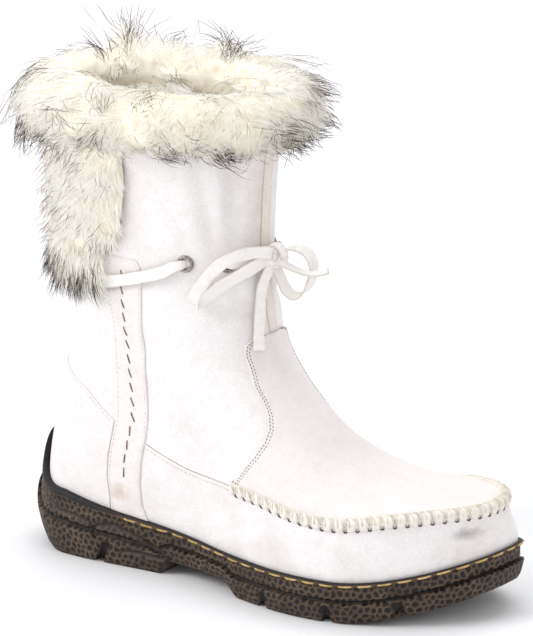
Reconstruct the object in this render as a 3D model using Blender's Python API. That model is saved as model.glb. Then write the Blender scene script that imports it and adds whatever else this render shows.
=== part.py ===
"""A woman's winter boot, right foot: pale suede, fur cuff, moccasin toe and a rubber cup sole.

Metres, +Z up. The toe points to +X, the outer side of the foot is -Y, and the floor is z = 0.
The routines measure x from the back of the heel. At the end the origin is moved below the heel.
"""
import math

import bmesh
import bpy
import numpy as np
from mathutils import Matrix, Vector

for old in list(bpy.data.objects):
    bpy.data.objects.remove(old)

# Driving sizes of the last and the sole
OUTSOLE_LENGTH = 0.276
HEEL_CENTRE = 0.030
BALL_WIDTH = 0.099
TOE_TURN = 0.020
TOE_SPRING = 0.018
HEEL_TUCK = 0.007
HEEL_BELLY = 0.030
HEEL_LEAN = 0.10
HEEL_SWELL = 0.0045
SOLE_HEIGHT = 0.0225
HEEL_CUP_HEIGHT = 0.056
ARCH_RISE = 0.0075
LUG_DEPTH = 0.0075
GROOVE_WIDTH = 0.0045
BED_HEIGHT = 0.014
RIM_WALL = 0.0035
RIM_LIP = 0.0012

# Driving sizes of the upper
COUNTER_HEIGHT = 0.105
COLLAR_HEIGHT = 0.250
SHAFT_WIDTH = 0.079
UPPER_WALL = 0.0025
INSOLE_THICKNESS = 0.0035
OVERLAY_THICKNESS = 0.0012
GAP = 0.0003

# Driving sizes of the trim
SEAM_WIDTH = 0.0065
SEAM_HEIGHT = 0.0016
FRONT_SEAM_WIDTH = 0.007
CUFF_DROP = 0.014
CUFF_RISE = 0.013
CUFF_DEPTH = 0.017
CUFF_LINING = 0.008
FUR_STRIP_DEPTH = 0.009
LOCK_LENGTH = 0.016
LOCK_WIDTH = 0.016
EYELET_WIDTH = 0.0092
EYELET_HOLE = 0.0050
EYELET_RIM = 0.0008
EYELET_RISE = 0.0010
LACE_WIDTH = 0.0065
LACE_THICKNESS = 0.0015
LACE_LIFT = 0.0030
LACE_HEIGHT = 0.173
LACE_DROP = 0.024
KNOT_SIZE = (0.0090, 0.0110, 0.0130)

# Points round each ring: 0 is the back of the heel, then the outer side, the toe, the inner side
AROUND = 44

# The sole's outline, as fullness beside a round-ended blank: share of length, then shares of ball width
OUTLINE = [
    # along, outer, inner
    (0.00, 0.45, 0.45),
    (0.06, 0.49, 0.49),
    (0.12, 0.44, 0.434),
    (0.20, 0.39, 0.376),
    (0.30, 0.353, 0.325),
    (0.40, 0.357, 0.305),
    (0.50, 0.420, 0.340),
    (0.60, 0.483, 0.415),
    (0.70, 0.524, 0.498),
    (0.80, 0.540, 0.552),
    (0.90, 0.510, 0.590),
    (1.00, 0.440, 0.500),
]
OUTLINE_ROUNDNESS = 2.6

# The sole's rim above the floor without toe spring: share of length, then share of the sole's height
RIM = [
    # along, height
    (0.10, 1.56),
    (0.20, 1.36),
    (0.32, 1.20),
    (0.46, 1.04),
    (0.60, 1.00),
    (0.80, 0.98),
    (1.00, 0.88),
]

# The steps of the sole's side: share of the side's height, then how far in from the outline
SIDE_STEPS = [
    # height, inset as a share of the rim's wall
    (0.00, 0.95),
    (0.25, 0.25),
    (0.42, 0.00),
    (0.47, 0.05),
    (0.52, 0.90),
    (0.57, 0.60),
    (0.84, 0.62),
    (0.87, 0.28),
    (0.97, 0.25),
    (1.00, 0.45),
]

# The seam that runs round the whole upper: counter, side seam and moccasin seam.
# Share of length, then its dip below a straight line from heel to toe as a share of the counter's height
SEAM_DIP = [
    # along, dip
    (0.00, 0.00),
    (0.10, 0.02),
    (0.14, 0.05),
    (0.20, 0.14),
    (0.30, 0.23),
    (0.38, 0.26),
    (0.50, 0.224),
    (0.58, 0.197),
    (0.68, 0.190),
    (0.76, 0.160),
    (0.84, 0.090),
    (0.90, 0.045),
    (0.95, 0.015),
    (1.00, 0.00),
]

# Rings of the upper from the seam to the collar. Each is a loop on a slanting plane between a point at
# the back and a point at the front. Along: share of outsole length. Height: share of collar height.
# Half widths: share of shaft width. Plan: how far the loop keeps the sole's outline. Dip: share of SEAM_DIP
RINGS = [
    # back along, back height, front along, front height, outer, inner, plan, dip
    (0.056, 0.420, 0.968, 0.238, 0.575, 0.560, 1.00, 1.00),
    (0.059, 0.445, 0.940, 0.246, 0.545, 0.530, 0.88, 0.84),
    (0.062, 0.474, 0.890, 0.252, 0.505, 0.495, 0.70, 0.66),
    (0.062, 0.505, 0.825, 0.262, 0.478, 0.468, 0.52, 0.50),
    (0.062, 0.537, 0.752, 0.278, 0.462, 0.452, 0.38, 0.36),
    (0.062, 0.569, 0.688, 0.306, 0.455, 0.445, 0.26, 0.24),
    (0.062, 0.603, 0.627, 0.350, 0.455, 0.448, 0.16, 0.14),
    (0.062, 0.639, 0.568, 0.410, 0.462, 0.457, 0.08, 0.06),
    (0.062, 0.679, 0.522, 0.478, 0.470, 0.466, 0.03, 0.00),
    (0.062, 0.723, 0.503, 0.558, 0.478, 0.476, 0.00, 0.00),
    (0.062, 0.773, 0.493, 0.638, 0.486, 0.486, 0.00, 0.00),
    (0.062, 0.828, 0.488, 0.728, 0.492, 0.492, 0.00, 0.00),
    (0.062, 0.888, 0.491, 0.830, 0.500, 0.500, 0.00, 0.00),
    (0.061, 0.945, 0.498, 0.920, 0.505, 0.505, 0.00, 0.00),
    (0.060, 1.000, 0.505, 1.000, 0.510, 0.510, 0.00, 0.00),
]
LOWER_LEVELS = (0.0, 0.18, 0.40, 0.62, 0.82)
SEAM_ROW = len(LOWER_LEVELS)


def ease(share):
    """Smooth step from 0 to 1."""
    share = np.clip(share, 0.0, 1.0)
    return share * share * (3.0 - 2.0 * share)


def read_table(table, column, at):
    """Smooth curve through one column of a table whose first column is the place."""
    rows = np.array(table)
    xs, ys = rows[:, 0], rows[:, column]
    slopes = np.gradient(ys, xs)
    at = np.clip(np.asarray(at, float), xs[0], xs[-1])
    k = np.clip(np.searchsorted(xs, at, side="right") - 1, 0, len(xs) - 2)
    step = xs[k + 1] - xs[k]
    t = (at - xs[k]) / step
    rise = (2 * t**3 - 3 * t**2 + 1) * ys[k] + (3 * t**2 - 2 * t**3) * ys[k + 1]
    return rise + (t**3 - 2 * t**2 + t) * step * slopes[k] + (t**3 - t**2) * step * slopes[k + 1]


def angles(count=AROUND):
    return np.arange(count) * 2 * math.pi / count


def round_blank(turn, power):
    """Half width of a unit blank with round ends, at each angle."""
    return (1.0 - np.abs(np.cos(turn)) ** power) ** (1.0 / power)


def side_sign(turn):
    """-1 on the outer side, +1 on the inner side."""
    return np.where(np.sin(turn) >= 0, -1.0, 1.0)


def toe_turn(x):
    """The last's centre line bends towards the inner side."""
    return TOE_TURN * np.clip((x / OUTSOLE_LENGTH - 0.6) / 0.4, 0, 1) ** 2


def toe_lift(x):
    return TOE_SPRING * np.clip((x / OUTSOLE_LENGTH - 0.74) / 0.26, 0, 1) ** 1.8


def outline_half(turn):
    """Half width of the sole's outline at each angle, before the toe's turn."""
    along = (1 - np.cos(turn)) / 2
    outer = read_table(OUTLINE, 1, along)
    inner = read_table(OUTLINE, 2, along)
    return BALL_WIDTH * np.where(np.sin(turn) >= 0, outer, inner) * round_blank(turn, OUTLINE_ROUNDNESS)


def plan_ring(inset, turn=None):
    """Points of the sole's outline in plan, moved in by an inset, as x and y."""
    turn = angles() if turn is None else turn

    def point(t):
        x = OUTSOLE_LENGTH * (1 - np.cos(t)) / 2
        return np.stack([x, side_sign(t) * outline_half(t) + toe_turn(x)], -1)

    small = 0.02
    tangent = point(turn + small) - point(turn - small)
    tangent /= np.linalg.norm(tangent, axis=1)[:, None]
    inward = np.stack([-tangent[:, 1], tangent[:, 0]], -1)
    return point(turn) + inward * np.reshape(inset, (-1, 1))


def rim_height(x):
    """Top of the sole's rim above its own underside."""
    along = x / OUTSOLE_LENGTH
    side = SOLE_HEIGHT * read_table(RIM, 1, along)
    peak = HEEL_CUP_HEIGHT - SOLE_HEIGHT * RIM[0][1]
    return side + peak * np.exp(-along / 0.022)


def arch(x):
    """Rise of the underside between heel and forefoot."""
    along = x / OUTSOLE_LENGTH
    return ARCH_RISE * ease((along - 0.32) / 0.03) * ease((0.525 - along) / 0.04)


def underside(x):
    return toe_lift(x) + arch(x)


def bed(x):
    """The footbed inside the sole: a little higher under the heel."""
    return BED_HEIGHT + toe_lift(x) * 0.9 + 0.006 * ease(1 - x / (0.55 * OUTSOLE_LENGTH))


def heel_share(x):
    """1 at the back of the heel, 0 from a fifth of the length on."""
    return np.clip(1 - x / (0.20 * OUTSOLE_LENGTH), 0, 1)


def lean(x, z):
    """The inside of the heel cup, and the upper in it, lean forward with height."""
    return (HEEL_LEAN * (z - HEEL_BELLY) - 0.2 * HEEL_TUCK) * heel_share(x)


def outer_lean(x, z):
    """The outside of the heel: tucked in at the floor, fullest at its belly, leaning forward above."""
    tuck = HEEL_TUCK * np.clip(1 - z / HEEL_BELLY, 0, 1) ** 2
    rise = HEEL_LEAN * np.clip(z - HEEL_BELLY, 0, None)
    return (tuck + rise - 0.2 * HEEL_TUCK) * heel_share(x)


def upper_ring(row):
    """One ring of the upper's outer face from a row of RINGS, as points."""
    back_x, back_z, front_x, front_z, outer, inner, plan, dip = row
    turn = angles()
    share = (1 - np.cos(turn)) / 2
    x0, x1 = back_x * OUTSOLE_LENGTH, front_x * OUTSOLE_LENGTH
    x = x0 + (x1 - x0) * share
    outline = outline_half(turn)
    outline = outline / outline.max()
    shape = plan * outline + (1 - plan) * round_blank(turn, 2.1)
    half = SHAFT_WIDTH * np.where(np.sin(turn) >= 0, outer, inner) * shape
    y = side_sign(turn) * half + toe_turn(x)
    z = COLLAR_HEIGHT * (back_z + (front_z - back_z) * share)
    z = z - dip * COUNTER_HEIGHT * read_table(SEAM_DIP, 1, x / OUTSOLE_LENGTH)
    return np.stack([x, y, z], -1)


def wall_ring(level):
    """A ring of the lower wall: level 0 is on the footbed, level 1 is the seam ring."""
    flat = plan_ring(RIM_WALL + GAP)
    start = flat[:, 0]
    seam = upper_ring(RINGS[0])
    low = bed(start) + GAP
    z = low + (seam[:, 2] - low) * level
    rim = toe_lift(start) + rim_height(start)
    pull = ease((z - rim) / (seam[:, 2] - rim)) ** 1.2
    stand = np.column_stack([start + lean(start, z), flat[:, 1], z])
    top = np.column_stack([start + lean(start, seam[:, 2]), flat[:, 1], seam[:, 2]])
    return stand + (seam - top) * pull[:, None]


def upper_rings():
    """All rings of the upper's outer face, from the footbed to the collar."""
    lower = [wall_ring(level) for level in LOWER_LEVELS]
    return np.array(lower + [upper_ring(row) for row in RINGS])


def outward(rings):
    """Unit normals of a grid of rings."""
    around = np.roll(rings, -1, axis=1) - np.roll(rings, 1, axis=1)
    up = np.gradient(rings, axis=0)
    normal = np.cross(around, up)
    return normal / np.linalg.norm(normal, axis=2)[:, :, None]


UPPER = upper_rings()
UPPER_OUT = outward(UPPER)


def new_object(name, mesh_data, color, roughness, metallic=0.0):
    """A mesh object with a material of its own."""
    mesh = bpy.data.meshes.new(name)
    mesh_data.to_mesh(mesh)
    mesh_data.free()
    return finish_object(bpy.data.objects.new(name, mesh), color, roughness, metallic)


def finish_object(obj, color, roughness, metallic=0.0):
    material = bpy.data.materials.new(obj.name)
    material.use_nodes = True
    shader = material.node_tree.nodes["Principled BSDF"]
    shader.inputs["Base Color"].default_value = (*color, 1)
    shader.inputs["Roughness"].default_value = roughness
    shader.inputs["Metallic"].default_value = metallic
    obj.data.materials.append(material)
    bpy.context.scene.collection.objects.link(obj)
    return obj


def loft(rings, closed=False):
    """A tube of rings. Its ends are closed across the width, or joined to each other."""
    shape = bmesh.new()
    loops = [[shape.verts.new(p) for p in ring] for ring in rings]
    count = len(loops[0])
    pairs = list(zip(loops, loops[1:]))
    if closed:
        pairs.append((loops[-1], loops[0]))
    for low, high in pairs:
        for i in range(count):
            j = (i + 1) % count
            shape.faces.new((low[i], low[j], high[j], high[i]))
    if not closed:
        for loop, up in ((loops[0], False), (loops[-1], True)):
            close_across(shape, loop, up)
    bmesh.ops.triangulate(shape, faces=[f for f in shape.faces if len(f.verts) > 3])
    bmesh.ops.recalc_face_normals(shape, faces=shape.faces)
    return shape


def close_across(shape, loop, up):
    """Fill a loop with strips from its outer side to its inner side."""
    count = len(loop)
    for i in range(count // 2):
        corners = [loop[i], loop[i + 1], loop[(count - i - 1) % count], loop[(count - i) % count]]
        unique = list(dict.fromkeys(corners))
        shape.faces.new(unique if up else unique[::-1])


def boolean(obj, other, operation):
    """Apply one exact Boolean and remove the other object."""
    modifier = obj.modifiers.new(operation.lower(), "BOOLEAN")
    modifier.operation = operation
    modifier.object = other
    modifier.solver = "EXACT"
    modifier.use_self = operation == "UNION"
    evaluated = obj.evaluated_get(bpy.context.evaluated_depsgraph_get())
    mesh = bpy.data.meshes.new_from_object(evaluated)
    obj.modifiers.clear()
    obj.data = mesh
    bpy.data.objects.remove(other)


def helper(shape):
    """An object that only cuts or joins another."""
    mesh = bpy.data.meshes.new("helper")
    shape.to_mesh(mesh)
    shape.free()
    obj = bpy.data.objects.new("helper", mesh)
    obj.hide_render = True
    obj.display_type = "WIRE"
    bpy.context.scene.collection.objects.link(obj)
    return obj


def prism(outline, axis, start, stop):
    """A prism over a closed outline. Axis y: outline in x and z. Axis x: outline in y and z."""
    shape = bmesh.new()
    near, far = [], []
    for a, b in outline:
        near.append(shape.verts.new((a, start, b) if axis == "y" else (start, a, b)))
        far.append(shape.verts.new((a, stop, b) if axis == "y" else (stop, a, b)))
    shape.faces.new(near)
    shape.faces.new(far)
    for i in range(len(near)):
        j = (i + 1) % len(near)
        shape.faces.new((near[i], near[j], far[j], far[i]))
    bmesh.ops.triangulate(shape, faces=shape.faces[:], ngon_method="EAR_CLIP")
    bmesh.ops.recalc_face_normals(shape, faces=shape.faces)
    return helper(shape)


def make_outsole():
    """Cup sole: stepped side, rim, footbed, arch, and grooves between the lugs."""
    rings = []
    for height, inset in SIDE_STEPS:
        x = plan_ring(0.0)[:, 0]
        swell = HEEL_SWELL * heel_share(x * 0.55) * (1 - 0.6 * height**2)
        flat = plan_ring(inset * RIM_WALL - swell)
        x = flat[:, 0]
        z = underside(x) * (1 - height) + toe_lift(x) * height + height * rim_height(x)
        ring = np.column_stack([flat, z])
        ring[:, 0] += outer_lean(ring[:, 0], z)
        rings.append(ring)
    inner = plan_ring(RIM_WALL)
    x = inner[:, 0]
    for z in (toe_lift(x) + rim_height(x) - RIM_LIP * 0.2, bed(x)):
        ring = np.column_stack([inner, z])
        ring[:, 0] += lean(ring[:, 0], z)
        rings.append(ring)
    sole = new_object("outsole", loft(rings), (0.06, 0.045, 0.038), 0.6)
    for groove in lug_grooves():
        boolean(sole, groove, "DIFFERENCE")
    return sole


# Grooves between the lugs: share of length at the outer side, and slant of the groove along the boot
LUG_GROOVES = [
    # along, slant
    (0.185, 0.50),
    (0.592, 0.10),
    (0.739, 0.00),
    (0.870, -0.15),
]


def lug_grooves():
    """Slanting bars that cut the lugs from one side of the sole to the other."""
    for along, slant in LUG_GROOVES:
        x = along * OUTSOLE_LENGTH
        low = float(toe_lift(x)) - LUG_DEPTH
        high = float(toe_lift(x)) + LUG_DEPTH
        skew = slant * LUG_DEPTH
        half = GROOVE_WIDTH / 2
        outline = [(x - half - skew, low), (x + half - skew, low), (x + half + skew, high), (x - half + skew, high)]
        yield prism(outline, "y", -BALL_WIDTH, BALL_WIDTH)


def make_insole():
    """Sock board on the footbed, inside the upper's lower edge."""
    inset = RIM_WALL + UPPER_WALL + 3 * GAP
    rings = []
    for lift in (GAP, GAP + INSOLE_THICKNESS):
        flat = plan_ring(inset + 0.0004)
        z = bed(flat[:, 0]) + lift
        ring = np.column_stack([flat, z])
        ring[:, 0] += lean(ring[:, 0], z)
        rings.append(ring)
    return new_object("insole", loft(rings), (0.62, 0.52, 0.42), 0.9)


def make_upper():
    """The hollow suede wall, open at the collar and underneath, with its four lace holes."""
    inner = UPPER - UPPER_OUT * UPPER_WALL
    inner[0, :, 2] = UPPER[0, :, 2]
    inner[-1, :, 2] = UPPER[-1, :, 2]
    rings = list(UPPER) + list(inner[::-1])
    upper = new_object("upper", loft(rings, closed=True), (0.78, 0.74, 0.70), 0.9)
    for hole in EYELET_PLACES:
        boolean(upper, hole_cutter(*hole), "DIFFERENCE")
    return upper


def surface_point(angle, z, lift=0.0):
    """The point of the upper above the seam at an angle round it and a height, and its normal."""
    turn = (angle % (2 * math.pi)) * AROUND / (2 * math.pi)
    i = int(turn) % AROUND
    j = (i + 1) % AROUND
    f = turn - int(turn)
    line = UPPER[:, i] * (1 - f) + UPPER[:, j] * f
    normals = UPPER_OUT[:, i] * (1 - f) + UPPER_OUT[:, j] * f
    k = int(np.clip(np.searchsorted(line[:, 2], z) - 1, 0, len(line) - 2))
    g = (z - line[k, 2]) / (line[k + 1, 2] - line[k, 2])
    point = Vector(line[k] * (1 - g) + line[k + 1] * g)
    normal = Vector(normals[k] * (1 - g) + normals[k + 1] * g).normalized()
    return point + normal * lift, normal


# Lace holes: angle round the shaft and height. The first two are on the outer side
EYELET_PLACES = [
    (math.radians(122), LACE_HEIGHT),
    (math.radians(148), LACE_HEIGHT),
    (math.radians(212), LACE_HEIGHT),
    (math.radians(238), LACE_HEIGHT),
]


def hole_cutter(angle, height):
    point, normal = surface_point(angle, height)
    shape = bmesh.new()
    turn = normal.to_track_quat("Z", "Y").to_matrix().to_4x4()
    radius = EYELET_HOLE / 2 + EYELET_RIM + GAP
    bmesh.ops.create_cone(shape, cap_ends=True, segments=16, radius1=radius, radius2=radius,
                          depth=UPPER_WALL * 4, matrix=Matrix.Translation(point) @ turn)
    return helper(shape)


def shell(low_lift, high_lift, first, last):
    """A closed wall between two larger forms of the upper, from one row of rings to another."""
    low = (UPPER + UPPER_OUT * low_lift)[first:last + 1]
    high = (UPPER + UPPER_OUT * high_lift)[first:last + 1]
    return loft(list(high) + list(low[::-1]), closed=True)


def overlay(name, outline, first, last, side=0.0):
    """A panel of the upper's own form, cut out along an outline in side view."""
    panel = new_object(name, shell(GAP, GAP + OVERLAY_THICKNESS, first, last), (0.80, 0.76, 0.72), 0.9)
    start, stop = (-BALL_WIDTH, BALL_WIDTH) if side == 0 else sorted((0.0, side * BALL_WIDTH))
    boolean(panel, prism(outline, "y", start, stop), "INTERSECT")
    return panel


# The vamp's rear edge in side view, from the moccasin seam up to the front of the ankle
VAMP_TOP = 0.545
VAMP_EDGE = [
    # along, height
    (0.505, 0.190),
    (0.510, 0.240),
    (0.538, 0.284),
    (0.554, 0.310),
    (0.562, 0.338),
    (0.560, 0.362),
    (0.551, 0.384),
    (0.534, 0.413),
    (0.515, 0.441),
    (0.497, 0.474),
    (0.486, 0.500),
    (0.487, 0.520),
    (0.497, 0.533),
    (0.515, VAMP_TOP),
    (1.100, VAMP_TOP),
    (1.100, 0.100),
    (0.505, 0.100),
]


def make_vamp():
    outline = [(a * OUTSOLE_LENGTH, h * COLLAR_HEIGHT) for a, h in VAMP_EDGE]
    return overlay("vamp", outline, SEAM_ROW, SEAM_ROW + 10)


# The stitched strip on the outer side: height, then its rear and front edge
STRIP_EDGES = [
    # height, rear along, front along
    (0.110, 0.209, 0.295),
    (0.142, 0.209, 0.281),
    (0.190, 0.203, 0.277),
    (0.238, 0.206, 0.281),
    (0.285, 0.216, 0.290),
    (0.325, 0.224, 0.294),
    (0.390, 0.219, 0.294),
    (0.503, 0.218, 0.298),
    (0.553, 0.219, 0.300),
    (0.640, 0.219, 0.301),
    (0.672, 0.222, 0.298),
    (0.690, 0.232, 0.287),
]


def rim_line(first, last, count):
    """The line just above the sole's rim in side view."""
    xs = np.linspace(first, last, count)
    return [(float(x), float(toe_lift(x) + rim_height(x)) + 2 * GAP) for x in xs]


def make_side_strip():
    rear = [(a * OUTSOLE_LENGTH, h * COLLAR_HEIGHT) for h, a, _ in STRIP_EDGES]
    front = [(a * OUTSOLE_LENGTH, h * COLLAR_HEIGHT) for h, _, a in STRIP_EDGES]
    base = rim_line(rear[0][0], front[0][0], 3)
    return overlay("side_strip", rear[1:] + front[:0:-1] + base[::-1], 1, SEAM_ROW + 12, side=-1)


def make_heel_counter():
    """Panel round the back of the heel, from the sole's rim to the seam and up to the strip."""
    rear = [(a * OUTSOLE_LENGTH - 2 * GAP, h * COLLAR_HEIGHT) for h, a, _ in STRIP_EDGES[2:6]]
    base = rim_line(-0.006, rear[0][0], 9)
    outline = base + rear + [(rear[-1][0], COLLAR_HEIGHT / 2), (base[0][0], COLLAR_HEIGHT / 2)]
    return overlay("heel_counter", outline, 1, SEAM_ROW)


def make_front_seam():
    """Narrow raised seam up the front of the shaft, from the vamp to the cuff."""
    low = VAMP_TOP * COLLAR_HEIGHT + OVERLAY_THICKNESS
    seam = new_object("front_seam", shell(GAP, GAP + OVERLAY_THICKNESS, SEAM_ROW + 8, SEAM_ROW + 14),
                      (0.80, 0.75, 0.68), 0.9)
    half = FRONT_SEAM_WIDTH / 2
    high = COLLAR_HEIGHT - CUFF_DROP - 4 * GAP
    outline = [(-half, low), (half, low), (half, high), (-half, high)]
    boolean(seam, prism(outline, "x", OUTSOLE_LENGTH * 0.35, OUTSOLE_LENGTH), "INTERSECT")
    return seam


def column_point(i, distance):
    """A point a given distance along the upper from the seam ring, up or down one column of its grid."""
    step = 1 if distance > 0 else -1
    row, left = SEAM_ROW, abs(distance)
    while True:
        here, there = UPPER[row, i], UPPER[row + step, i]
        length = np.linalg.norm(there - here)
        if left <= length or row + 2 * step < 0:
            share = left / length
            normal = UPPER_OUT[row, i] * (1 - share) + UPPER_OUT[row + step, i] * share
            return here + (there - here) * share, normal / np.linalg.norm(normal)
        left -= length
        row += step


def make_moc_seam():
    """Raised ridge of the moccasin seam, round the toe from the vamp's rear edge on either side."""
    start = VAMP_EDGE[1][0] * OUTSOLE_LENGTH
    inside = [i for i in range(AROUND) if UPPER[SEAM_ROW, i, 0] > start]
    over = 3 * GAP + OVERLAY_THICKNESS
    crest = over + SEAM_HEIGHT
    section = [(-0.50, GAP), (-0.45, 0.75 * crest), (-0.15, crest), (0.20, crest), (0.44, over + 0.7 * SEAM_HEIGHT),
               (0.50, over), (0.05, over), (-0.12, over), (-0.12, GAP)]
    rings = []
    for i in inside:
        ring = []
        for across, lift in section:
            point, normal = column_point(i, across * SEAM_WIDTH)
            ring.append(point + normal * lift)
        rings.append(ring)
    shape = bmesh.new()
    loops = [[shape.verts.new(p) for p in ring] for ring in rings]
    for low, high in zip(loops, loops[1:]):
        for k in range(len(low)):
            n = (k + 1) % len(low)
            shape.faces.new((low[k], low[n], high[n], high[k]))
    shape.faces.new(loops[0])
    shape.faces.new(loops[-1])
    bmesh.ops.triangulate(shape, faces=shape.faces[:])
    bmesh.ops.recalc_face_normals(shape, faces=shape.faces)
    return new_object("moc_seam", shape, (0.85, 0.80, 0.70), 0.85)


# The cuff's section: lift from the upper's outer face as a share of the cuff's depth, or of its
# lining's depth where it is negative, and height from the collar as a share of its drop or rise
CUFF_SECTION = [
    # lift, height
    (0.00, -0.96),
    (0.45, -1.08),
    (0.88, -0.80),
    (1.00, -0.20),
    (0.95, 0.45),
    (0.62, 0.88),
    (0.10, 1.00),
    (-0.60, 0.80),
    (-1.00, 0.20),
    (-0.80, -0.40),
]


# Rows of locks round the cuff
LOCK_ROWS = [
    # number, out, up, root as a share of the cuff's drop, sway
    (16, 0.50, -1.00, -0.25, 0.35),
    (10, 1.00, 0.35, 0.30, 0.50),
]


def make_fur_cuff():
    """Deep fur that hooks over the collar, with locks at its lower and upper edges."""
    turn = angles()
    clump = 1 + 0.07 * np.sin(7 * turn + 0.8) + 0.05 * np.sin(12 * turn)
    back = 1 + 0.20 * np.cos(turn)
    rings = []
    for lift, height in CUFF_SECTION:
        away = lift * (CUFF_DEPTH * clump * back if lift > 0.2 else CUFF_LINING * np.ones(AROUND))
        away += GAP if lift > -0.05 else -UPPER_WALL - 2 * GAP
        rise = height * (CUFF_RISE if height > 0 else CUFF_DROP) * (clump if abs(height) > 0.5 else np.ones(AROUND))
        rings.append([around_cuff(turn[i], away[i], rise[i]) for i in range(AROUND)])
    hook = [(-UPPER_WALL - 2 * GAP, CUFF_SECTION[-1][1] * CUFF_DROP), (-UPPER_WALL - 2 * GAP, GAP), (GAP, GAP)]
    for lift, rise in hook:
        rings.append([around_cuff(t, lift, rise) for t in turn])
    cuff = new_object("fur_cuff", loft(rings, closed=True), (0.80, 0.75, 0.62), 1.0)
    locks = bmesh.new()
    for number, out, up, root, sway in LOCK_ROWS:
        for k in range(number):
            a = 2 * math.pi * (k + 0.3 * math.sin(5 * k + number)) / number
            base = around_cuff(a, 0.55 * CUFF_DEPTH, root * CUFF_DROP)
            direction = cuff_direction(a, out, up, sway * math.sin(3.7 * k))
            add_lock(locks, base, direction, LOCK_LENGTH * (1 + 0.2 * math.sin(2.3 * k)))
    boolean(cuff, helper(locks), "UNION")
    return cuff


def around_cuff(angle, lift, rise):
    """A point beside the collar at an angle, a lift off the upper and a rise."""
    point, normal = surface_point(angle, COLLAR_HEIGHT * 0.9999 + min(rise, 0))
    flat = Vector((normal.x, normal.y, 0)).normalized()
    return Vector((point.x, point.y, COLLAR_HEIGHT + rise)) + flat * lift


def cuff_direction(angle, out, up, sway):
    """A direction beside the collar: outwards, upwards and sideways."""
    _, normal = surface_point(angle, COLLAR_HEIGHT * 0.999)
    flat = Vector((normal.x, normal.y, 0)).normalized()
    side = Vector((-flat.y, flat.x, 0))
    return (flat * out + Vector((0, 0, up)) + side * sway).normalized()


def add_lock(shape, base, direction, length, width=LOCK_WIDTH):
    """One tapered lock of fur, rooted inside the fur's body."""
    turn = direction.to_track_quat("Z", "Y").to_matrix().to_4x4()
    matrix = Matrix.Translation(base + direction * (length / 2)) @ turn
    bmesh.ops.create_cone(shape, cap_ends=True, cap_tris=True, segments=5, radius1=width / 2,
                          radius2=width / 14, depth=length, matrix=matrix)


# The fur strip down the rear of the outer side: height as a share of collar height, then the angles of
# its rear and front edge in degrees, and its depth as a share of FUR_STRIP_DEPTH
FUR_STRIP = [
    # height, rear, front, depth
    (0.648, 34, 60, 0.45),
    (0.680, 20, 67, 0.80),
    (0.702, 10, 72, 0.95),
    (0.745, -8, 84, 1.00),
    (0.800, -12, 87, 0.95),
    (0.860, -12, 88, 1.00),
    (0.925, -12, 86, 1.00),
]


def make_fur_strip():
    """Fur down the rear of the outer side, from under the cuff to just above the lace."""
    across = np.linspace(0, 1, 11)
    shape = bmesh.new()
    top, under = [], []
    for height, rear, front, depth in FUR_STRIP:
        z = height * COLLAR_HEIGHT
        outer_row, inner_row = [], []
        for k, share in enumerate(across):
            angle = math.radians(rear + (front - rear) * share)
            dome = math.sin(math.pi * (0.12 + 0.76 * share)) ** 0.6
            wave = 1 + 0.10 * math.sin(3.1 * k + 40 * height)
            outer_row.append(shape.verts.new(surface_point(angle, z, GAP + FUR_STRIP_DEPTH * depth * dome * wave)[0]))
            inner_row.append(shape.verts.new(surface_point(angle, z, 3 * GAP)[0]))
        top.append(outer_row)
        under.append(inner_row)
    close_sheet(shape, top, under)
    strip = new_object("fur_strip", shape, (0.80, 0.74, 0.60), 1.0)
    locks = bmesh.new()
    for row, (height, rear, front, depth) in enumerate(FUR_STRIP[1:-1]):
        for share in (0.15, 0.5, 0.85):
            angle = math.radians(rear + (front - rear) * share)
            point, normal = surface_point(angle, height * COLLAR_HEIGHT, 0.55 * FUR_STRIP_DEPTH * depth)
            side = Vector((normal.y, -normal.x, 0))
            direction = (normal * 0.85 - Vector((0, 0, 0.45)) + side * (0.5 - 0.5 * share)).normalized()
            length = LOCK_LENGTH * (0.75 + 0.15 * math.sin(4 * row + 9 * share))
            add_lock(locks, point, direction, length, LOCK_WIDTH * 0.8)
    boolean(strip, helper(locks), "UNION")
    return strip


def close_sheet(shape, top, under):
    """Close a thick sheet from the grids of its two faces."""
    rows, columns = len(top), len(top[0])
    for i in range(rows - 1):
        for j in range(columns - 1):
            shape.faces.new((top[i][j], top[i][j + 1], top[i + 1][j + 1], top[i + 1][j]))
            shape.faces.new((under[i][j], under[i + 1][j], under[i + 1][j + 1], under[i][j + 1]))
    edge = [(0, j) for j in range(columns)] + [(i, columns - 1) for i in range(1, rows)]
    edge += [(rows - 1, j) for j in range(columns - 2, -1, -1)] + [(i, 0) for i in range(rows - 2, 0, -1)]
    for (a, b), (c, d) in zip(edge, edge[1:] + edge[:1]):
        shape.faces.new((top[a][b], under[a][b], under[c][d], top[c][d]))
    bmesh.ops.triangulate(shape, faces=shape.faces[:])
    bmesh.ops.recalc_face_normals(shape, faces=shape.faces)


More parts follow.
